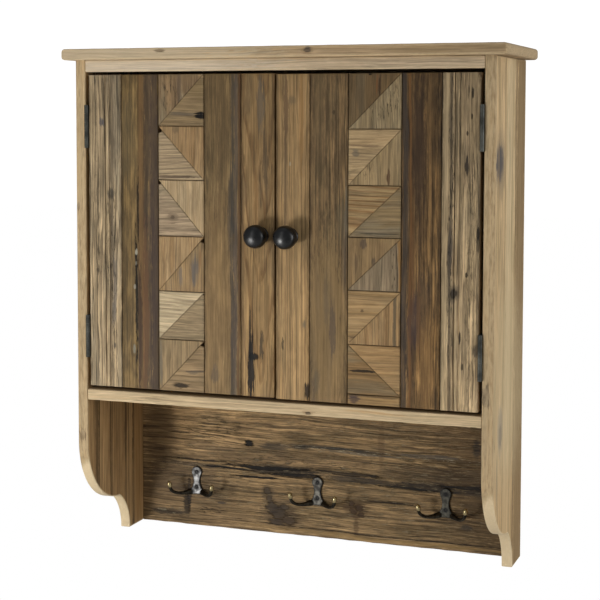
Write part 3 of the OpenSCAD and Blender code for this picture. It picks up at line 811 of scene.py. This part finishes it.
DOOR_BOARDS = {
    "left_outer_board": dict(
        light="ab9574", dark="816e53", shade="8d7b5e", weather="877d6a",
        tone=(0.95, 1.18, 430.0), rings=(5.0, 15.0, 120.0, 0.0),
        ring_depth=0.5, streaks=0.5, weathered=0.5, pores=0.35, fibre=0.4, relief=0.5,
        lines=0.42, cuts=0.6, clouds=0.22,
        marks=(
            band(35.5, 3.0, "605342", 0.6), band(11, 2.0, "7d6d54", 0.5), band(48.5, 1.5, "b7a07c", 0.5),
            spot(66, 18, 5.5, 4.5, "40424d", 0.85), crack(8, 9.3, 6, 1.0, 0.8), crack(60, 23, 45, 0.6, 0.7),
            spot(165, 34, 9, 6, "3e3a35", 0.8), flecks(206, 34, 40, 9, 0.9), flecks(255, 34, 55, 9, 1.0),
            flecks(261, 15, 22, 7), spot(300, 42, 40, 3.5, "5e5c5d", 0.55),
            spot(334, 40, 17, 4, "585656", 0.6), spot(379, 41, 5, 2.6, "4a4641", 0.8),
            flecks(340, 40, 90, 6, 0.7), crack(330, 13, 100, 0.6, 0.75), flecks(120, 12, 110, 5, 0.4),
        ),
    ),
    "left_dark_board": dict(
        tone=(0.81, 0.88, 430.0), light="846b42", dark="654f30", shade="705a37", weather="68583b",
        rings=(11.0, 10.0, 160.0, 0.0),
        ring_depth=0.4, streaks=0.6, weathered=0.3, fibre=0.26, waver=3.6, roughness=0.55, clouds=0.34,
        marks=(
            spot(90, 10, 60, 12, "564b35", 0.5), band(30, 6.0, "6b4f2f", 0.75),
            band(37.5, 4.0, "3d3127", 0.85), band(43, 2.6, "544436", 0.6), band(50.5, 7.0, "3e322c", 0.85),
            spot(330, 36, 120, 5, "6c4b2e", 0.7), spot(350, 26.5, 95, 3.6, "36261c", 0.85),
            spot(300, 49, 150, 4, "40322c", 0.6), crack(190, 25, 45, 1.3, 0.9),
            crack(305, 21.5, 95, 1.9, 0.92), spot(246, 21.8, 4, 1.9, "a8a28f", 0.9),
            spot(262, 21, 3, 1.2, "827c6c", 0.8), spot(295, 19, 3, 1.6, "989180", 0.85),
            spot(383, 18, 6, 1.7, "8b8674", 0.85),
        ),
    ),
    "left_streaked_board": dict(
        light="786240", dark="5c4830", shade="665135", weather="6a5a3e",
        tone=(0.81, 1.40, 430.0), rings=(9.0, 24.0, 130.0, 0.02),
        streaks=0.55, weathered=0.35, fibre=0.26, waver=4.2, roughness=0.56, clouds=0.34,
        marks=(
            spot(330, 18, 170, 22, "876c47", 0.6), spot(60, 20, 90, 24, "655134", 0.5),
            band(42.5, 2.6, "3f3a33", 0.75), band(47.5, 2.4, "4d4642", 0.7),
            band(52.5, 1.5, "624227", 0.75), spot(180, 40, 60, 5, "3c3833", 0.65),
            spot(360, 45, 80, 4, "483f39", 0.65), spot(413, 17, 9, 6, "564b3e", 0.7),
            spot(400, 17, 5, 2.5, "615343", 0.6), spot(150, 22, 70, 3, "55422a", 0.5),
        ),
    ),
    "left_inner_board": dict(
        light="95784f", dark="664a2b", shade="7f633d", weather="73644d",
        tone=(0.83, 1.15, 430.0), rings=(5.6, 27.0, 34.0, 0.045),
        ring_depth=0.92, weathered=0.3, fibre=0.22, waver=6.0, roughness=0.56, lines=0.24,
        marks=(
            spot(41, 28, 40, 5.5, "585045", 0.75), spot(120, 34, 42, 4, "4d3f2f", 0.65),
            spot(170, 20, 40, 3, "805d36", 0.6), crack(350, 12, 42, 1.8, 0.8),
            crack(398, 13.5, 48, 4.8, 0.95, "15100d"), crack(383, 17.4, 5, 8.0, 0.95),
            crack(368, 30.5, 22, 2.8, 0.75, "362f26"), band(1.5, 1.5, "725736", 0.5),
        ),
    ),
    "right_inner_board": dict(
        light="987b53", dark="775b36", shade="846843", weather="7e6e50",
        tone=(0.88, 1.27, 430.0), rings=(4.2, 24.0, 150.0, 0.0),
        weathered=0.25, waver=2.2, roughness=0.56,
        marks=(
            spot(47, 13.5, 50, 3.6, "594430", 0.75), spot(150, 13, 70, 2.6, "69533b", 0.55),
            spot(35, 22.4, 6, 5, "665841", 0.6), spot(120, 20, 3, 1.2, "a09780", 0.7),
            crack(362, 9.0, 9, 1.6, 0.75, "3a3223"), spot(335, 40.3, 7, 2.4, "635e4f", 0.75),
            crack(424, 46.0, 12, 5.0, 0.9, "1b140e"), spot(60, 36, 70, 3, "9e7340", 0.45),
            spot(250, 30, 120, 4, "a1865d", 0.4),
        ),
    ),
    "right_streaked_board": dict(
        light="786040", dark="55422b", shade="614e33", weather="66573b",
        tone=(0.98, 1.11, 430.0), rings=(10.0, 20.0, 140.0, 0.0),
        streaks=0.6, weathered=0.4, fibre=0.28, waver=4.2, roughness=0.57, clouds=0.32,
        marks=(
            spot(345, 27, 85, 5, "453a30", 0.65), spot(395, 6, 65, 3.5, "4b4136", 0.65),
            spot(300, 12, 55, 3, "54473a", 0.55), spot(340, 24, 120, 30, "8d734b", 0.65),
            spot(60, 14, 80, 8, "5b4c33", 0.5), spot(51, 33, 3, 2, "33281d", 0.8),
            spot(181, 51, 34, 2.4, "90866d", 0.6), spot(190, 44, 30, 6, "58503b", 0.5),
            spot(339, 32, 34, 5, "4f443b", 0.75), spot(300, 24, 40, 4, "5e513d", 0.6),
            spot(409, 10, 18, 4, "564f40", 0.6), spot(230, 50, 60, 4, "4d463d", 0.5),
        ),
    ),
    "right_dark_board": dict(
        tone=(0.53, 1.18, 430.0), light="84653d", dark="47321b", shade="513d23", weather="634f34",
        rings=(6.0, 30.0, 120.0, 0.0), ring_depth=0.5, streaks=0.75, weathered=0.3, fibre=0.4, pores=0.8,
        roughness=0.56, clouds=0.42, lines=0.36,
        marks=(
            spot(95, 22, 75, 15, "2f221a", 0.6), spot(300, 28, 48, 11, "332923", 0.6),
            spot(360, 12, 60, 7, "3b2d24", 0.6), band(3.6, 3.8, "3a332d", 0.85),
            band(11, 1.8, "714e29", 0.8), spot(120, 25, 130, 8, "3a2a1b", 0.6),
            spot(318, 17, 40, 8, "3e312f", 0.75), spot(250, 14, 90, 3.5, "614123", 0.6),
            spot(380, 34, 70, 9, "7e5f39", 0.55), spot(330, 24, 60, 3, "6e4e2d", 0.55),
            spot(60, 40, 80, 6, "533f26", 0.5),
        ),
    ),
    "right_outer_board": dict(
        light="a8916f", dark="816b50", shade="8f7b5a", weather="8d7f66",
        tone=(0.72, 1.35, 430.0), rings=(5.0, 40.0, 120.0, 0.0),
        streaks=0.5, weathered=0.4, pores=0.4, fibre=0.36, relief=0.5,
        lines=0.42, cuts=0.6, clouds=0.22,
        marks=(
            band(12.4, 1.8, "4e4538", 0.75), band(5, 4, "b39d79", 0.5), flecks(200, 13.5, 240, 4.5, 1.0),
            spot(230, 12.5, 30, 3, "3f3b39", 0.7), spot(285, 19, 12, 7, "554a3d", 0.7),
            crack(285, 18, 6, 4.0, 0.85, "26201b"), crack(27, 40, 7, 1.6, 0.8), crack(24, 35, 8, 0.8, 0.6),
            crack(56, 39.5, 3, 1.5, 0.8), crack(78, 32, 3, 1.4, 0.8),
            crack(119, 31.5, 11, 2.2, 0.85, "2c2621"), crack(206, 47.5, 7, 2.0, 0.85),
            crack(219, 47.8, 13, 1.6, 0.7), crack(260, 34, 3, 1.8, 0.8), crack(342, 26.3, 7, 1.6, 0.85),
            spot(357, 47, 8, 5, "3b3530", 0.8), crack(380, 30, 4, 1.0, 0.7), flecks(250, 40, 200, 9, 0.45),
        ),
    ),
}


# Dirt and painted shade along the joints between the facing boards, and between the triangles
SEAM_DIRT_AND_SHADE = ("33271b", 0.5)
TILE_SEAM_DIRT_AND_SHADE = ("43341f", 0.35)


def facing_board(side, name, seed):
    """One upright board on the front of a door."""
    node = f"{side}_{name}"
    # The board's edges get dirt and painted shade in its joints
    look = {"wear_and_shade": SEAM_DIRT_AND_SHADE, **DOOR_BOARDS[node]}
    material = wood(node + "_wood", top_front(node), DOWN, seed, **look)
    slot = "weathered_wood" if name in ("outer_board", "inner_board") else "dark_wood"
    plank(node, f"{side}_door", slot, [material], 2, ease=1.0, front=GROOVES.get(node, ()),
          waver=0.7, seed=seed, chips=CHIPS.get(node, ()))


def half(grain, light, dark, *marks, cut=0.0, **changes):
    """One triangle of a tile: its wood, and how much is cut off its outer sharp corner."""
    look = dict(light=light, dark=dark, shade=dark, marks=marks, lines=0.2, cuts=0.22, clouds=0.14,
                pores=0.3)
    return dict(grain=grain, cut=cut, look={**look, **changes})


# Each tile from the top: whether its diagonal rises to the right, its upper half and its lower half
LEFT_TILES = (
    (True,
     half(DOWN, "876e4e", "594837", flecks(12, 15, 12, 8, 0.9, "2d2722"), flecks(40, 20, 26, 20, 0.5),
          spot(20, 30, 26, 4, "605143", 0.6), weathered=0.7, pores=0.5),
     half(ALONG_X, "8c7655", "68553a", spot(35, 54, 22, 2.6, "524b42", 0.7),
          spot(66, 56, 8, 4.5, "352d26", 0.8), crack(64, 56, 9, 5.0),
          spot(60, 20, 14, 12, "73603d", 0.4))),
    (False,
     half(DOWN, "987c57", "7b5c39", spot(4, 25, 5, 5, "574937", 0.6), band(52, 0.8, "6a4d2e", 0.7),
          ring_depth=0.4),
     half(ALONG_X, "ae9775", "6f604f", spot(31, 68.5, 32, 1.8, "59483a", 0.9), cut=9.0,
          rings=(5.5, 0.0, 30.0, 0.1), ring_depth=0.85, relief=0.5)),
    (False,
     half(DOWN, "b29a76", "927753", ring_depth=0.4, rings=(4.0, 60.0, 60.0, 0.0)),
     half(ALONG_X, "a89275", "6f5f4b", spot(21, 52, 9, 8, "705f4b", 0.65),
          spot(21, 52, 3.5, 3, "5c4c3b", 0.8), cut=6.0, rings=(6.0, 10.0, 25.0, 0.1), ring_depth=0.75,
          weathered=0.5)),
    (True,
     half(DOWN, "a78a63", "86653d", ring_depth=0.5, rings=(4.0, 30.0, 90.0, 0.0), fibre=0.3),
     half(DOWN, "9b7f58", "705c46", spot(47, 54, 22, 4.5, "615c58", 0.85),
          spot(30, 62, 20, 2, "7c5734", 0.6), spot(55, 36, 14, 3, "6c655e", 0.6), cut=8.0, fibre=0.35)),
    (True,
     half(ALONG_X, "c1ae8c", "9c8462", ring_depth=0.6, rings=(4.5, 80.0, 30.0, 0.1), weathered=0.0,
          streaks=0.2),
     half(ALONG_X, "968162", "847050", cut=3.0, ring_depth=0.2, fibre=0.14, streaks=0.2)),
    (True,
     half(DOWN, "9a825f", "806a4a", spot(31, 3.5, 30, 3, "6c6456", 0.8), ring_depth=0.2, fibre=0.16),
     half(ALONG_X, "937b5a", "705b3e", spot(53, 43, 14, 1.0, "483e37", 0.9),
          spot(52, 45, 10, 2, "695c4a", 0.7), crack(32, 64, 9, 3.6), spot(32, 64, 12, 4, "544533", 0.6),
          cut=8.0, rings=(7.0, 90.0, 20.0, 0.0), ring_depth=0.5)),
)
RIGHT_TILES = (
    (True,
     half(DOWN, "685336", "4f3e28", spot(15, 44, 16, 2.4, "2f1f15", 0.85),
          spot(15, 39, 16, 1.5, "744a27", 0.7), crack(1, 29, 2, 1.6), spot(20, 15, 30, 8, "564b38", 0.5)),
     half(DOWN, "907c5b", "66573f", flecks(48, 43, 14, 22, 0.9), flecks(30, 60, 20, 10, 0.7),
          weathered=0.5, pores=0.6, fibre=0.4)),
    (True,
     half(ALONG_X, "b2976f", "856b49", spot(25, 22, 24, 1.4, "6e5741", 0.8),
          spot(10, 32, 5, 5, "5d564b", 0.75), rings=(8.0, -10.0, 30.0, 0.05), ring_depth=0.5),
     half(DOWN, "99825e", "7b6645", spot(63, 57, 10, 2.6, "4a2d1d", 0.95), flecks(50, 25, 20, 14, 0.5),
          fibre=0.35)),
    (True,
     half(ALONG_X, "9c835b", "79532f", rings=(6.0, 60.0, 28.0, 0.06), ring_depth=0.85, streaks=0.3),
     half(ALONG_X, "857050", "6d5b38", spot(45, 64, 26, 0.9, "353027", 0.85), weather="786f5c",
          weathered=0.6, ring_depth=0.25)),
    (True,
     half(DOWN, "8f7550", "685136", spot(8, 20, 6, 5, "433933", 0.8),
          spot(32, 36, 6, 3, "433930", 0.75), spot(34, 10, 12, 2, "564433", 0.6), fibre=0.3),
     half(DOWN, "8b785e", "70614a", band(66, 1.0, "31271c", 0.85), band(71, 3.4, "916c3c", 0.9),
          flecks(40, 62, 40, 5), streaks=0.6, fibre=0.4)),
    (True,
     half(ALONG_X, "a2855d", "86683e", spot(20, 25, 2.4, 2.4, "53412f", 0.8),
          spot(12, 62, 14, 1.6, "4d3a2b", 0.8), rings=(4.0, 60.0, 80.0, 0.0)),
     half(DOWN, "a08259", "856440", band(52.5, 1.4, "63472b", 0.6), band(64, 2.0, "514a3c", 0.8),
          band(71.5, 1.2, "443728", 0.8), rings=(6.0, 30.0, 80.0, 0.0))),
    (False,
     half(ALONG_X, "a38359", "83643c", ring_depth=0.35, rings=(9.0, 30.0, 60.0, 0.0)),
     half(ALONG_X, "886b45", "695132", crack(24, 35, 22, 1.9, 0.9, "1d160f"),
          spot(20, 55, 30, 9, "6d5f47", 0.6), weathered=0.5)),
    (None,
     half(ALONG_X, "9e7f54", "765d3d", spot(9, 6, 7, 6, "3d3033", 0.9),
          spot(40, 1, 40, 1.2, "473827", 0.7)),
     None),
)


def clipped(outline, corner, cut):
    """The outline with one corner cut off, at the given distance along both its sides."""
    here = Vector(outline[corner])
    sides = [(Vector(outline[(corner + step) % len(outline)]) - here).normalized() for step in (-1, 1)]
    ends = [tuple(here + side * cut) for side in sides]
    return outline[:corner] + ends + outline[corner + 1:]


def tile_outlines(low, high, rises):
    """The outlines of a tile's upper and lower triangle, or of one rectangle where rises is None."""
    corners = {
        "bottom_left": (low.x, low.z), "bottom_right": (high.x, low.z),
        "top_right": (high.x, high.z), "top_left": (low.x, high.z),
    }
    names = [("bottom_right", "top_right", "top_left"), ("bottom_left", "bottom_right", "top_left")]
    if rises:
        names = [("bottom_left", "top_right", "top_left"), ("bottom_left", "bottom_right", "top_right")]
    if rises is None:
        names = [tuple(corners)]
    return [[corners[name] for name in outline] for outline in names]


def tile(side, number, rises, upper, lower):
    """A mosaic tile: two triangles of different wood that meet on a diagonal, or one strip."""
    saw_gap = 0.2
    most_sunk = 0.6
    node = f"{side}_tile_{number}"
    low, high = box_mm(node)
    shape = Shape()
    woods = []
    for slot, (outline, part) in enumerate(zip(tile_outlines(low, high, rises), (upper, lower))):
        seed = 60 + 2 * number + slot + (20 if side == "right" else 0)
        # The triangle's edges get dirt and painted shade along its seams
        look = {"wear_and_shade": TILE_SEAM_DIRT_AND_SHADE, **part["look"]}
        woods.append(wood(f"{node}_wood_{slot + 1}", top_front(node), part["grain"], seed, **look))
        outline = inward(outline, saw_gap)
        if part["cut"]:
            outline = clipped(outline, 2, part["cut"])
        sunk = most_sunk * abs(noise.noise(Vector((seed / 3, 0.5, 0.1))))
        slab(shape, outline, low.y + sunk, high.y, 0.5, lambda a, b, c: Vector((a, c, b)), rim=2.0,
             slots=(slot, slot, slot))
    shape.piece(node, f"{side}_door", woods)


# A knob's rose and neck from the door outwards, as (distance, radius, wear)
ROSE_PROFILE = (
    (0.0, 11.4, 0.0), (0.2, 12.0, 1.0), (1.9, 12.0, 1.0), (2.5, 11.4, 1.0), (3.4, 10.0, 0.0), (4.6, 8.9, 0.0),
)


def knob(side, material):
    """A turned knob: a rose, a hollowed neck, and a ball with a flatter front."""
    node = f"{side}_knob"
    low, high = box_mm(node)
    radius = (high.x - low.x) / 2
    reach = high.y - low.y
    front_radius = 1.6 * radius
    ball = arc((reach - 0.8 * radius, 0), radius, 144, 59, 17)
    front = arc((reach - front_radius, 0), front_radius, 28, 4, 6)
    profile = [*ROSE_PROFILE, *((along, out, 0.0) for along, out in ball + front), (reach, 0.3, 0.0)]
    shape = Shape()
    centre = Vector(((low.x + high.x) / 2, high.y, (low.z + high.z) / 2))
    lathe(shape, centre, profile, Vector((0, -1, 0)))
    shape.piece(node, f"{side}_door", [material], 60)


def build_doors():
    """Both doors: the backing, the four boards, the tiles and the knob."""
    ball_black = black_paint()
    for side, first_seed in (("left", 101), ("right", 201)):
        backing = f"{side}_backing"
        low, high = box_mm(backing)
        material = wood(backing + "_wood", Vector((low.x, high.y, high.z)), DOWN, first_seed,
                        rings=(14.0, 130.0, 40.0, 0.03), waver=9.0, **PLYWOOD)
        plank(backing, f"{side}_door", "plywood", [material], 2, ease=0.6, seed=first_seed)
        for number, name in enumerate(("outer_board", "dark_board", "streaked_board", "inner_board")):
            facing_board(side, name, first_seed + 9 * (number + 1))
        for number, parts in enumerate(LEFT_TILES if side == "left" else RIGHT_TILES):
            tile(side, number + 1, *parts)
        knob(side, ball_black)


# ---- Metalwork ----

HOOK_HEAD_RADIUS = 8.4
HOOK_PLATE_THICKNESS = 3.0
HOOK_HOLE_SPACING = 23.0


def hook_outline(length):
    """A hook plate's outline in the XZ plane, with its upper hole at the origin: a round head that
    runs into a waist and flares again to the foot."""
    waist_half = 5.2
    waist_radius = 22.0
    base_half = 12.4
    foot_sag = 1.2
    foot = HOOK_HEAD_RADIUS - length
    side = waist_half + waist_radius
    waist_z = -math.sqrt((HOOK_HEAD_RADIUS + waist_radius) ** 2 - side ** 2)
    lean = math.degrees(math.atan2(-waist_z, side))
    flare = 180 + math.degrees(math.acos((side - base_half) / waist_radius))
    waist = arc((side, waist_z), waist_radius, 180 - lean, flare, 14)
    head = arc((0, 0), HOOK_HEAD_RADIUS, -lean, 180 + lean, 24)[1:-1]
    shares = (-0.92, -0.6, -0.2, 0.2, 0.6, 0.92)
    foot_line = [(base_half * x, foot + foot_sag * (1 - x * x)) for x in shares]
    return list(reversed(waist)) + head + [(-x, z) for x, z in waist] + foot_line


def hook_tip(radius):
    """The profile of a hook's long rounded tip, as (distance, radius, wear)."""
    half_length = 5.3
    angles = [math.radians(turn) for turn in range(4, 180, 11)]
    return [(half_length * (1 - math.cos(a)), radius * math.sin(a) ** 0.8, 1.0) for a in angles]


def hook_arm(shape, side, start, end, radius, rise, tip_radius):
    """An arm that runs sideways and forwards from a thick root and bends up to its tip."""
    root_radius = 4.6
    root_end = 1 / 2.4  # the share of the arm's length where the thick root ends
    splay = 0.2
    tip_overlap = 4.0
    steps = 22
    path = []
    radii = []
    for i in range(steps + 1):
        along = i / steps
        reach = math.sin(along * math.pi / 2)
        here = radius + (root_radius - radius) * max(0.0, 1 - along / root_end) ** 1.5
        point = start + (end - start) * reach
        point.z = start.z + here + rise * along ** 2.6
        path.append(point)
        radii.append(here)
    tube(shape, path, radii, slot=1)
    lean = Vector((side * splay, -splay, 1.0)).normalized()
    lathe(shape, path[-1] - lean * tip_overlap, hook_tip(tip_radius), lean, 24, slot=2)


def hook(name, plate_material, arm_material, tip_material):
    """A double coat hook: a waisted plate, and two arms that run forwards and up to long tips."""
    tip_radius = 3.4
    arm_radius = 2.4
    arm_rise = 14.5
    arm_start = 9.5
    sunk = 0.6  # how deep the arms' middle lies in the plate
    node = f"{name}_hook"
    low, high = box_mm(node)
    middle = (low.x + high.x) / 2
    plate_front = high.y - HOOK_PLATE_THICKNESS
    upper_hole = high.z - HOOK_HEAD_RADIUS
    shape = Shape()
    slab(shape, hook_outline(high.z - low.z), plate_front, high.y, 0.9,
         lambda a, b, c: Vector((middle + a, c, upper_hole + b)), rim=1.9)
    for side in (-1, 1):
        start = Vector((middle + side * arm_start, plate_front + sunk, low.z))
        end = Vector((middle + side * ((high.x - low.x) / 2 - tip_radius), low.y + tip_radius, low.z))
        hook_arm(shape, side, start, end, arm_radius, arm_rise, tip_radius)
    shape.piece(node, "carcass", [plate_material, arm_material, tip_material], 50)


# A screw's head from its rim inwards, as (share of the radius, height)
HEAD_PROFILE = (
    (1.0, -0.9), (1.0, 0.0), (0.86, 0.22), (0.62, 0.3), (0.58, 0.31), (0.4, 0.33), (0.22, 0.34), (0.08, 0.34),
)


def screw_heads(node, body, material, places, facing, radius):
    """Cross-head screws seen from the given direction, standing for a CAD node of screws."""
    cross_reach = 0.6
    cross_depth = 0.9
    cross_half = 0.13 * radius
    spokes = 48
    shape = Shape()
    side = facing.orthogonal().normalized()
    other = facing.cross(side)
    for centre in places:
        rings = []
        for share, lift in HEAD_PROFILE:
            points = []
            for i in range(spokes):
                turn = 2 * math.pi * i / spokes
                a, b = share * radius * math.cos(turn), share * radius * math.sin(turn)
                in_cross = share < cross_reach and min(abs(a), abs(b)) < cross_half
                height = lift - (cross_depth if in_cross else 0.0)
                points.append(centre + side * a + other * b + facing * height)
            rings.append(shape.ring(points, [1.0 if 0.5 < share < 0.9 else 0.0] * spokes))
        shape.skin(rings)
    shape.piece(node, body, [material], 30)


def build_hooks():
    """The three hooks, whose plates are darker from left to right as a painted reflection of the key light,
    and their screws' heads.
    """
    # Each plate's material, its colour, its dark patina, its roughness and its edges. The colours are a
    # painted reflection of the key light, brightest on the left, and the edges are painted shade.
    plates = {
        "left": ("hook_plate_bright_reflection", "878786", "565554", 0.55, "1d1b19"),
        "middle": ("hook_plate_mid_reflection", "55524a", "302e2a", 0.52, "191715"),
        "right": ("hook_plate_dark_reflection", "4a473c", "292720", 0.5, "171512"),
    }
    arms = metal("hook_dark_bronze", "3f3a30", "221f1a", 0.38, 0.9)
    tips = metal("hook_brass", "c6b587", "5f5339", 0.3, grain=3.0)
    places = []
    for name, (look, colour, dark, roughness, edge) in plates.items():
        low, high = box_mm(f"{name}_hook")
        upper_hole = high.z - HOOK_HEAD_RADIUS
        holes = [Vector(((low.x + high.x) / 2, high.y - HOOK_PLATE_THICKNESS, upper_hole - down))
                 for down in (0.0, HOOK_HOLE_SPACING)]
        material = metal(look, colour, dark, roughness, 0.5, edge=edge, stains=holes)
        hook(name, material, arms, tips)
        places += holes
    dark = metal("hook_screw_dark", "100f0e", "0a0909", 0.85, 0.0, 0.05)
    screw_heads("hook_screws", "carcass", dark, places, Vector((0, -1, 0)), 2.9)


def dress(nodes, material):
    """Gives CAD nodes that stay in view a better material."""
    for node in nodes:
        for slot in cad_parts[node].material_slots:
            slot.material = material


def build_metalwork():
    """The looks of the hinges, hangers, pins and catches, whose CAD shapes stay."""
    steel = metal("hinge_steel", "4b4c46", "2c2d28", 0.55, 0.5, grain=16.0)
    zinc = metal("zinc_steel", "a9abad", "7d8083", 0.38, 0.95)
    magnet = metal("magnet_steel", "5a5c5f", "35373a", 0.35, 0.9)
    brown = plastic("catch_brown", "6f4a2b", "523520", 0.45)
    sides = ("left", "right")
    leaves = ("frame_leaves", "door_leaves", "leaf_screws")
    dress([f"{side}_{part}" for side in sides for part in leaves], steel)
    dress(["frame_leaf_screws", "hinge_pins"], steel)
    dress(["hangers", "hanger_screws", "shelf_pins", "catch_screws"], zinc)
    dress([f"{side}_{part}" for side in sides for part in ("strike", "strike_screw", "knob_screw")], zinc)
    dress(["catch_magnets"], magnet)
    dress(["left_catch", "right_catch"], brown)


def build_back():
    """The plywood back panel, the hanging rail and the hidden dowels."""
    material = wood("back_panel_wood", top_front("back_panel"), DOWN, 51,
                    rings=(16.0, 280.0, 60.0, 0.04), waver=10.0, ring_depth=0.5, **PLYWOOD)
    plank("back_panel", "carcass", "plywood", [material], 2, ease=0.5, seed=7.0)
    rail = wood("hanging_rail_wood", top_front("hanging_rail"), ALONG_X, 55, **FRAME_WOOD)
    dress(["hanging_rail"], rail)
    low, _ = box_mm("hanging_rail")
    dress(["frame_dowels"], wood("dowel_wood", low, ALONG_X, 57, light="c9ae84", dark="a88a5c"))


# ---- Stage ----

def build_floor():
    """A pale floor below the cabinet, which the camera sees as plain white."""
    drop = 0.42
    half = 14.0
    low, _ = cad_bounds
    mesh = bpy.data.meshes.new("floor")
    corners = [(-half, -half), (half, -half), (half, half), (-half, half)]
    mesh.from_pydata([(x, y, low.z - drop) for x, y in corners], [], [(0, 1, 2, 3)])
    floor = bpy.data.objects.new("floor", mesh)
    bpy.context.scene.collection.objects.link(floor)
    s = Surface("floor_white")
    place = s.place(Vector((0, 0, 0)), DOWN)
    mottle = s.noise(place, (400, 400, 400), 2, 2.0)
    s.set(Base_Color=s.mix(mottle, linear("e2e2e0"), linear("ececeb")), Roughness=0.9)
    glow = s.node("ShaderNodeEmission", {"Color": (1, 1, 1, 1), "Strength": 1.0}).outputs[0]
    seen = s.node("ShaderNodeLightPath", {}).outputs["Is Camera Ray"]
    both = s.node("ShaderNodeMixShader", {0: seen, 1: s.shader.outputs[0], 2: glow}).outputs[0]
    s.plug(s.tree.nodes["Material Output"].inputs["Surface"], both)
    mesh.materials.append(s.material)


def build_world():
    """Dim light from all around, and a white background for the camera."""
    world = bpy.data.worlds.new("studio")
    bpy.context.scene.world = world
    world.use_nodes = True
    nodes, links = world.node_tree.nodes, world.node_tree.links
    around = nodes["Background"]
    around.inputs["Color"].default_value = (0.96, 0.98, 1.0, 1)
    around.inputs["Strength"].default_value = 0.24
    seen = nodes.new("ShaderNodeBackground")
    seen.inputs["Color"].default_value = (1, 1, 1, 1)
    seen.inputs["Strength"].default_value = 1.05
    path = nodes.new("ShaderNodeLightPath")
    choice = nodes.new("ShaderNodeMixShader")
    links.new(path.outputs["Is Camera Ray"], choice.inputs[0])
    links.new(around.outputs[0], choice.inputs[1])
    links.new(seen.outputs[0], choice.inputs[2])
    links.new(choice.outputs[0], nodes["World Output"].inputs["Surface"])


def soft_light(name, place, size, power, colour=(1.0, 1.0, 1.0)):
    """A soft box at a place, facing the cabinet, with its width and height in metres and its watts."""
    middle = Vector((0.0, -0.1, -0.3))
    data = bpy.data.lights.new(name, "AREA")
    data.shape = "RECTANGLE"
    data.size, data.size_y = size
    data.energy = power
    data.color = colour
    light = bpy.data.objects.new(name, data)
    light.location = place
    light.rotation_euler = (middle - Vector(place)).to_track_quat("-Z", "Y").to_euler()
    bpy.context.scene.collection.objects.link(light)


def build_lights():
    """A warm key light from the lower left, and soft boxes that open up the right side and the top."""
    soft_light("key", (-0.9, -1.6, -0.9), (0.45, 0.45), 18.0, (1.0, 0.985, 0.96))
    soft_light("fill", (2.2, -1.6, 0.4), (1.6, 1.6), 6.0, (0.98, 0.99, 1.0))
    soft_light("side", (2.6, -0.5, 0.0), (1.2, 1.2), 26.0)
    soft_light("strip", (-0.75, -1.9, 0.1), (0.22, 1.5), 3.0)
    soft_light("top", (-0.3, -1.0, 1.9), (1.4, 1.4), 2.0)


def build_camera():
    """The photo's view of the front, from the right and a little above."""
    place = (0.714, -2.048, -0.053)
    yaw, pitch, roll = (math.radians(a) for a in (-20.02, -3.84, 0.11))
    data = bpy.data.cameras.new("camera")
    data.sensor_width = 36.0
    data.lens = 89.28
    data.shift_y = -0.1333
    camera = bpy.data.objects.new("camera", data)
    turn = Matrix.Rotation(-yaw, 4, "Z") @ Matrix.Rotation(math.pi / 2 + pitch, 4, "X")
    turn = turn @ Matrix.Rotation(roll, 4, "Z")
    camera.matrix_world = Matrix.Translation(place) @ turn
    bpy.context.scene.collection.objects.link(camera)
    bpy.context.scene.camera = camera


bpy.context.scene.view_settings.view_transform = "Standard"
build_carcass()
build_hook_board()
build_back()
build_doors()
build_hooks()
build_metalwork()
build_floor()
build_world()
build_lights()
build_camera()
